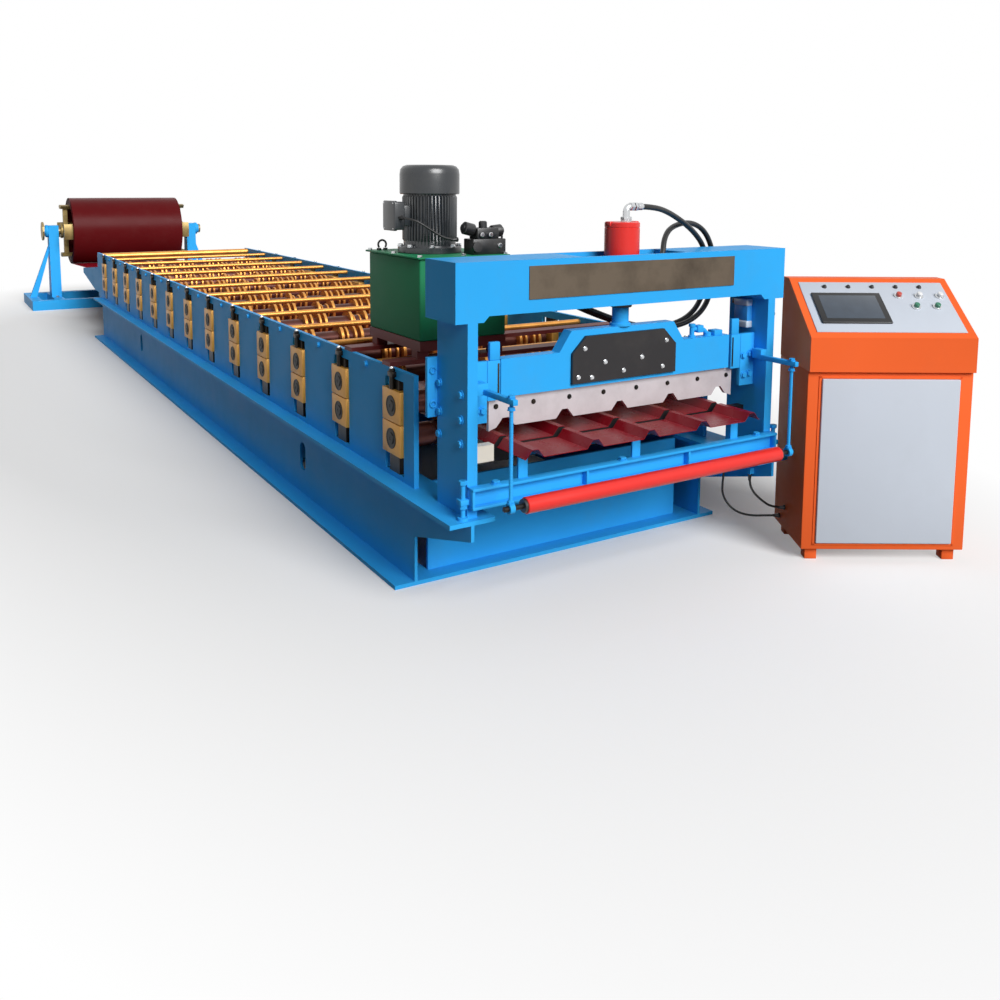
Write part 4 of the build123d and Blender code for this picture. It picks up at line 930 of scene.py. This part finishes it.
class PackOperator(bpy.types.Operator):
    """Oil tank with its lid, filler and lifting eye, the motor and the valves"""

    bl_idname = "rollform.power_pack"
    bl_label = "Hydraulic power pack"

    def execute(self, context):
        s = context.scene.rollform_pack
        tank = rounded_box((-495, -500, 732), (-109, -180, 995), 1000 * s.corner, 4)
        piece("tank_shell", tank, "machine_enamel_green", slot="green_paint", instead=["oil_tank"])
        port = together([bolt(25, 10), lathe([(0, 9), (10, 9), (10, 12), (0, 12)], 20)])
        ports = [facing((-109, y, z), (1, 0, 0)) for y, z in ((-222, 918), (-272, 937))]
        piece("tank_ports", placed(port, ports), "bright_zinc_steel")
        lid = rounded_box((-505, -510, 995), (-99, -170, LID), 1.5)
        piece("tank_lid", lid, "machine_enamel_green", slot="green_paint", instead=["tank_cover"])
        screws = at(*((x, y, LID) for x in (-492, -302, -112) for y in (-498, -182)), (-492, -340, LID),
                    (-112, -340, LID))
        piece("lid_bolts", placed(bolt(13, 7, 9), screws), "bright_zinc_steel")
        # Lifting eye on two feet, breather and level gauge
        eye = [sweep(arc((-470, -462, 1020), (0, 1, 0), (0, 0, 1), 15, -40, 220, 20), 3.6, 12)]
        eye += [lathe_at([(0, LID), (8, LID), (8, 1008), (0, 1008)], -470, y) for y in (-474, -450)]
        breather = lathe_at([(0, LID), (13, LID), (13, 1009), (9, 1010), (9, 1016), (17, 1018), (17, 1034), (14, 1039),
                             (0, 1040)], -410, -222, 28)
        gauge = rounded_box((-497, -322, 800), (-493.5, -302, 930), 1.5)
        piece("tank_trim", together([*eye, breather, gauge]), "cast_iron_black")
        self.motor(s)
        self.valves()
        clothe("red_oxide_primer", "tank_brackets")
        return {"FINISHED"}

    def motor(self, s):
        """Motor on its flange. Body: r(a) = foot + fin height * comb(a), comb being 1 on a fin and 0 between."""
        x, y = MOTOR
        height = 1000 * s.fin
        a = np.linspace(0, 2 * math.pi, 8 * s.fins, endpoint=False)
        comb = np.clip(2.2 * np.cos(s.fins * a) + 0.5, 0, 1)
        z = np.array([1024, 1024, 1040, 1046, 1186, 1192, 1202, 1202], dtype=float)
        share = np.array([0, 0, 0, 1, 1, 0, 0, 0], dtype=float)
        foot = np.array([0, 88, 88, 85, 85, 88, 88, 0], dtype=float)
        r = foot[:, None] + share[:, None] * height * comb[None]
        body = grid(np.stack([r * np.cos(a), r * np.sin(a), z[:, None] + 0 * r], axis=-1), wrap_v=True)
        flange = lathe([(0, LID), (106, LID), (107.5, 1003), (107.5, 1020), (106, 1022), (92, 1022), (90, 1026),
                        (0, 1026)], 64)
        cowl = lathe([(0, 1196), (98, 1196), (100.5, 1199), (100.5, 1262), (98, 1278), (90, 1288), (78, 1292.5),
                      (30, 1292.5), (28, 1290), (0, 1290)], 64)
        box = rounded_box((-345, -518, 1080), (-255, -478, 1172), 6, 3)
        cover = rounded_box((-341, -517.8, 1077), (-259, -504, 1175), 4, 3)
        neck = rounded_box((-330, -486, 1092), (-270, -440, 1160), 5)
        round_parts = placed(together([body, flange, cowl]), at((x, y, 0)))
        piece("motor_castings", together([round_parts, box, cover, neck]), "cast_iron_grey", slot="grey_motor",
              instead=["pump_motor"])
        ring = at(*arc((x, y, 1022), (1, 0, 0), (0, 1, 0), 99, 22, 337, 8))
        head = lathe([(0, 0), (4, 0), (3, 0.4), (0, 0.4)], 12)
        corners = [facing((x + dx, -517.6, z), (0, -1, 0)) for dx in (-34, 34) for z in (1086, 1166)]
        piece("motor_bolts", together([placed(bolt(15, 9, 10), ring), placed(head, corners)]), "bright_zinc_steel")

    def valves(self):
        """Manifold with a round solenoid on either side, a cap above, a knob in front, a ring and a short pipe."""
        solenoid = lathe([(0, 0), (20, 0), (21, 2), (21, 34), (19, 36), (12, 37), (12, 42), (0, 43)], 36)
        cap = lathe([(0, 0), (14, 0), (14, 20), (10, 24), (0, 24)], 28)
        knob = lathe([(0, 0), (16, 0), (17, 3), (17, 14), (0, 15)], 28)
        piece("valve_group", together([
            rounded_box((-183, -300, LID), (-117, -176, 1052), 3),
            rounded_box((-178, -282, 1050), (-122, -200, 1088), 4),
            placed(solenoid, [facing((-150, -284, 1080), (0, -1, 0.25)), facing((-150, -212, 1074), (0, 1, 0.1))]),
            placed(cap, at((-150, -246, 1086))),
            placed(knob, [facing((-120, -290, 1026), (1, 0, 0.1))]),
            sweep(arc((-138, -196, 1056), (0, 1, 0), (0, 0, 1), 17, -60, 240, 18), 4.0, 12),
            sweep([(-150, -176, 1020), (-150, -172, 1019), (-149, -171.5, 1014), (-149, -171, 1006)], 6.0, 12),
        ]), "cast_iron_black", slot="dark_metal", instead=["valve_block"])
        plug = lathe([(0, 0), (8, 0), (8, 4), (6, 6), (0, 6)], 20)
        sites = [facing((-116.8, y, z), (1, 0, 0)) for y, z in ((-236, 1066), (-268, 1066), (-200, 1030))]
        piece("valve_caps", placed(plug, sites), "bright_zinc_steel")


def lathe_at(profile, x, y, sides=20):
    """A lathe shape stood at x, y."""
    points, faces = lathe(profile, sides)
    return points + [x, y, 0], faces


# Decoiler

REEL = (-7700, 0, 730)  # middle of the coil


class DecoilerSettings(bpy.types.PropertyGroup):
    """Sizes of the decoiler and its coil."""

    radius: FloatProperty(name="Coil radius", unit="LENGTH", description="Outside of the coil", default=0.323)
    laps: IntProperty(name="Laps", description="Ridges that stand for the sheet's laps", default=26)


class DecoilerOperator(bpy.types.Operator):
    """Coil with its laps, spindle collars and bearing caps"""

    bl_idname = "rollform.decoiler"
    bl_label = "Decoiler"

    def execute(self, context):
        s = context.scene.rollform_decoiler
        x, height = REEL[0], REEL[2]
        radius = 1000 * s.radius
        half = -rib_line(-1)[0, 0]
        # Ends of the laps: every other ring of the side lies 2.4 mm deeper
        r = np.linspace(256.2, radius - 0.5, 2 * s.laps)
        z = half - 2.4 * (np.arange(2 * s.laps) % 2)
        side = [*zip(r, -z)]
        profile = side + [(radius, -half + 1), (radius, half - 1)] + [*zip(r[::-1], z[::-1])] + [side[0]]
        # The coil's darker coating is painted shade
        piece("coil_laps", placed(lathe(profile, 128), [facing(REEL, (0, 1, 0))]), "coil_coating_painted_shade", "coil_reel",
              "red_sheet", 20, ["coil"])
        collar = lathe([(36, 0), (58, 0), (60, 2), (60, 22), (58, 24), (46, 24), (44, 40), (36, 40), (36, 0)], 40)
        hub = lathe([(36, 0), (70, 0), (72, 3), (72, 17), (70, 20), (36, 20), (36, 0)], 40)
        hubs = [facing((x, side * 592, height), (0, -side, 0)) for side in (-1, 1)]
        piece("spindle_hubs", placed(hub, hubs), "zinc_yellow_dull", "coil_reel")
        caps = [facing((x, side * 705, height), (0, side, 0)) for side in (-1, 1)]
        piece("bearing_caps", placed(collar, caps), "machine_enamel_blue")
        bolts = at(*((x + dx, y, 90) for dx in (-130, 130) for y in (-660, 660)))
        piece("post_feet_bolts", placed(bolt(24, 14, 18), bolts), "bright_zinc_steel")
        clothe("zinc_yellow_dull", "spindle", "coil_supports")
        return {"FINISHED"}


# Control cabinet

WIDTH, DEPTH = 535.0, 300.0
RUN, RISE = 255, 166  # of the sloping console
SLOPE = math.hypot(RUN, RISE)
# From the cabinet's own axes to the line's, and from the console's: X along its front, Y up its slope
CABINET = Matrix.Translation((505.5, 588.5, 0)) @ Matrix.Rotation(math.radians(58.55), 4, "Z")
CONSOLE = CABINET @ Matrix.Translation((0, -15, 749)) @ Matrix.Rotation(math.atan2(RISE, RUN), 4, "X")
# Places of the push buttons on the console, by colour
BUTTONS = {"red": [(343, 205)], "white": [(412, 205), (481, 205)], "green": [(385, 150), (454, 150)]}


class CabinetSettings(bpy.types.PropertyGroup):
    """Sizes of the control cabinet."""

    fold: FloatProperty(name="Fold radius", unit="LENGTH", description="Folded sheet edges", default=0.004)
    button: FloatProperty(name="Button radius", unit="LENGTH", description="Push buttons", default=0.011)


class CabinetOperator(bpy.types.Operator):
    """Cabinet, door, console, screen, lamps and push buttons"""

    bl_idname = "rollform.cabinet"
    bl_label = "Control cabinet"

    def execute(self, context):
        s = context.scene.rollform_cabinet
        fold = 1000 * s.fold

        def on_cabinet(name, shape, material, **options):
            piece(name, placed(shape, [CABINET]), material, **options)

        def on_console(name, shape, material, **options):
            piece(name, placed(shape, [CONSOLE]), material, **options)

        feet = boxes(2, *(((x, y, 0), (x + 40, y + 40, 42)) for x in (20, WIDTH - 60) for y in (20, DEPTH - 60)))
        body = together([rounded_box((0, 0, 40), (WIDTH, DEPTH, 637), fold), feet])
        on_cabinet("cabinet_shell", body, "powder_coat_orange", slot="orange_paint", instead=["cabinet_body"])
        door = rounded_box((45, -10, 64), (WIDTH - 45, 1, 613), 3, 3)
        on_cabinet("door_leaf", door, "powder_coat_grey", slot="panel_grey", instead=["cabinet_door"])
        rim = boxes(1, ((36, -3, 56), (44.5, 2, 621)), ((WIDTH - 44.5, -3, 56), (WIDTH - 36, 2, 621)),
                    ((36, -3, 613.5), (WIDTH - 36, 2, 621)), ((36, -3, 56), (WIDTH - 36, 2, 63.5)))
        on_cabinet("door_frame", rim, "powder_coat_orange")
        panel = rounded_box((25, 25, 0), (WIDTH - 25, SLOPE - 25, 3), 1.2)
        on_console("console_plate", panel, "powder_coat_grey", slot="panel_grey", instead=["console_panel"])
        low = (0.31 * WIDTH - 0.215 * WIDTH, 0.46 * SLOPE - 0.25 * SLOPE)
        high = (0.31 * WIDTH + 0.215 * WIDTH, 0.46 * SLOPE + 0.25 * SLOPE)
        bezel = rounded_box((*low, 3), (*high, 10), 3, 3)
        on_console("screen_bezel", bezel, "black_plastic", slot="screen", instead=["touch_screen"])
        glass = rounded_box((low[0] + 20, low[1] + 20, 9), (high[0] - 20, high[1] - 16, 10.6), 0.7)
        on_console("screen_glass", glass, "screen_glass")
        # The CAD's row of buttons becomes indicator lamps, because the real buttons sit lower
        lamp = lathe([(0, 3), (8, 3), (8, 5), (6, 6), (6, 9), (4, 11), (0, 11.5)], 24)
        lamps = at(*((0.5 * WIDTH + 0.15 * WIDTH * i, 0.83 * SLOPE, 0) for i in (-2, -1, 0, 1, 2)))
        on_console("indicator_lamps", placed(lamp, lamps), "black_plastic", slot="button", instead=["push_buttons"])
        r = 1000 * s.button
        ring = lathe([(0, 3), (r + 3, 3), (r + 3, 6), (r, 7), (r, 9), (0, 9)], 28)
        cap = lathe([(0, 8), (r - 2, 8), (r - 2, 17), (r - 4, 19), (0, 19.5)], 28)
        sites = {colour: at(*((x, y, 0) for x, y in pairs)) for colour, pairs in BUTTONS.items()}
        on_console("button_rings", placed(ring, sum(sites.values(), [])), "bright_zinc_steel")
        for colour, caps in sites.items():
            on_console(f"button_caps_{colour}", placed(cap, caps), f"{colour}_plastic")
        clothe("powder_coat_orange", "console_hood")
        return {"FINISHED"}


class FrameOperator(bpy.types.Operator):
    """Enamel and coatings of the CAD nodes whose shapes stay"""

    bl_idname = "rollform.frame"
    bl_label = "Painted frame"

    def execute(self, context):
        clothe("machine_enamel_blue", "base_beams", "front_panel", "cross_members", "side_plates", "cutter_posts",
               "cutter_beam", "cutter_ram", "ram_guides", "runout_sill", "entry_guide", "decoiler_base",
               "decoiler_posts")
        clothe("coil_coating_red", "formed_strip", "cut_sheet")
        return {"FINISHED"}


class ROLLFORM_PT_line(bpy.types.Panel):
    """Lists the line's operators and settings"""

    bl_label = "Roll forming line"
    bl_space_type = "VIEW_3D"
    bl_region_type = "UI"
    bl_category = "Roll forming"

    def draw(self, context):
        for operator in OPERATORS:
            self.layout.operator(operator.bl_idname)
        for name in GROUPS:
            group = getattr(context.scene, name)
            for key in group.bl_rna.properties.keys():
                if key not in ("rna_type", "name"):
                    self.layout.prop(group, key)


GROUPS = {
    "rollform_stage": StageSettings,
    "rollform_paint": PaintSettings,
    "rollform_rolls": RollSettings,
    "rollform_stand": StandSettings,
    "rollform_cutter": CutterSettings,
    "rollform_runout": RunoutSettings,
    "rollform_pack": PackSettings,
    "rollform_decoiler": DecoilerSettings,
    "rollform_cabinet": CabinetSettings,
}
OPERATORS = [StageOperator, CordsOperator, FrameOperator, RollsOperator, StandOperator, CutterOperator,
             RunoutOperator, PackOperator, DecoilerOperator, CabinetOperator]


def register():
    for cls in [*GROUPS.values(), *OPERATORS, ROLLFORM_PT_line]:
        bpy.utils.register_class(cls)
    for name, group in GROUPS.items():
        setattr(bpy.types.Scene, name, PointerProperty(type=group))


def unregister():
    for name in GROUPS:
        delattr(bpy.types.Scene, name)
    for cls in reversed([*GROUPS.values(), *OPERATORS, ROLLFORM_PT_line]):
        bpy.utils.unregister_class(cls)


def main():
    """Builds the whole scene."""
    register()
    for operator in OPERATORS:
        group, name = operator.bl_idname.split(".")
        getattr(getattr(bpy.ops, group), name)()


if __name__ == "__main__":
    main()
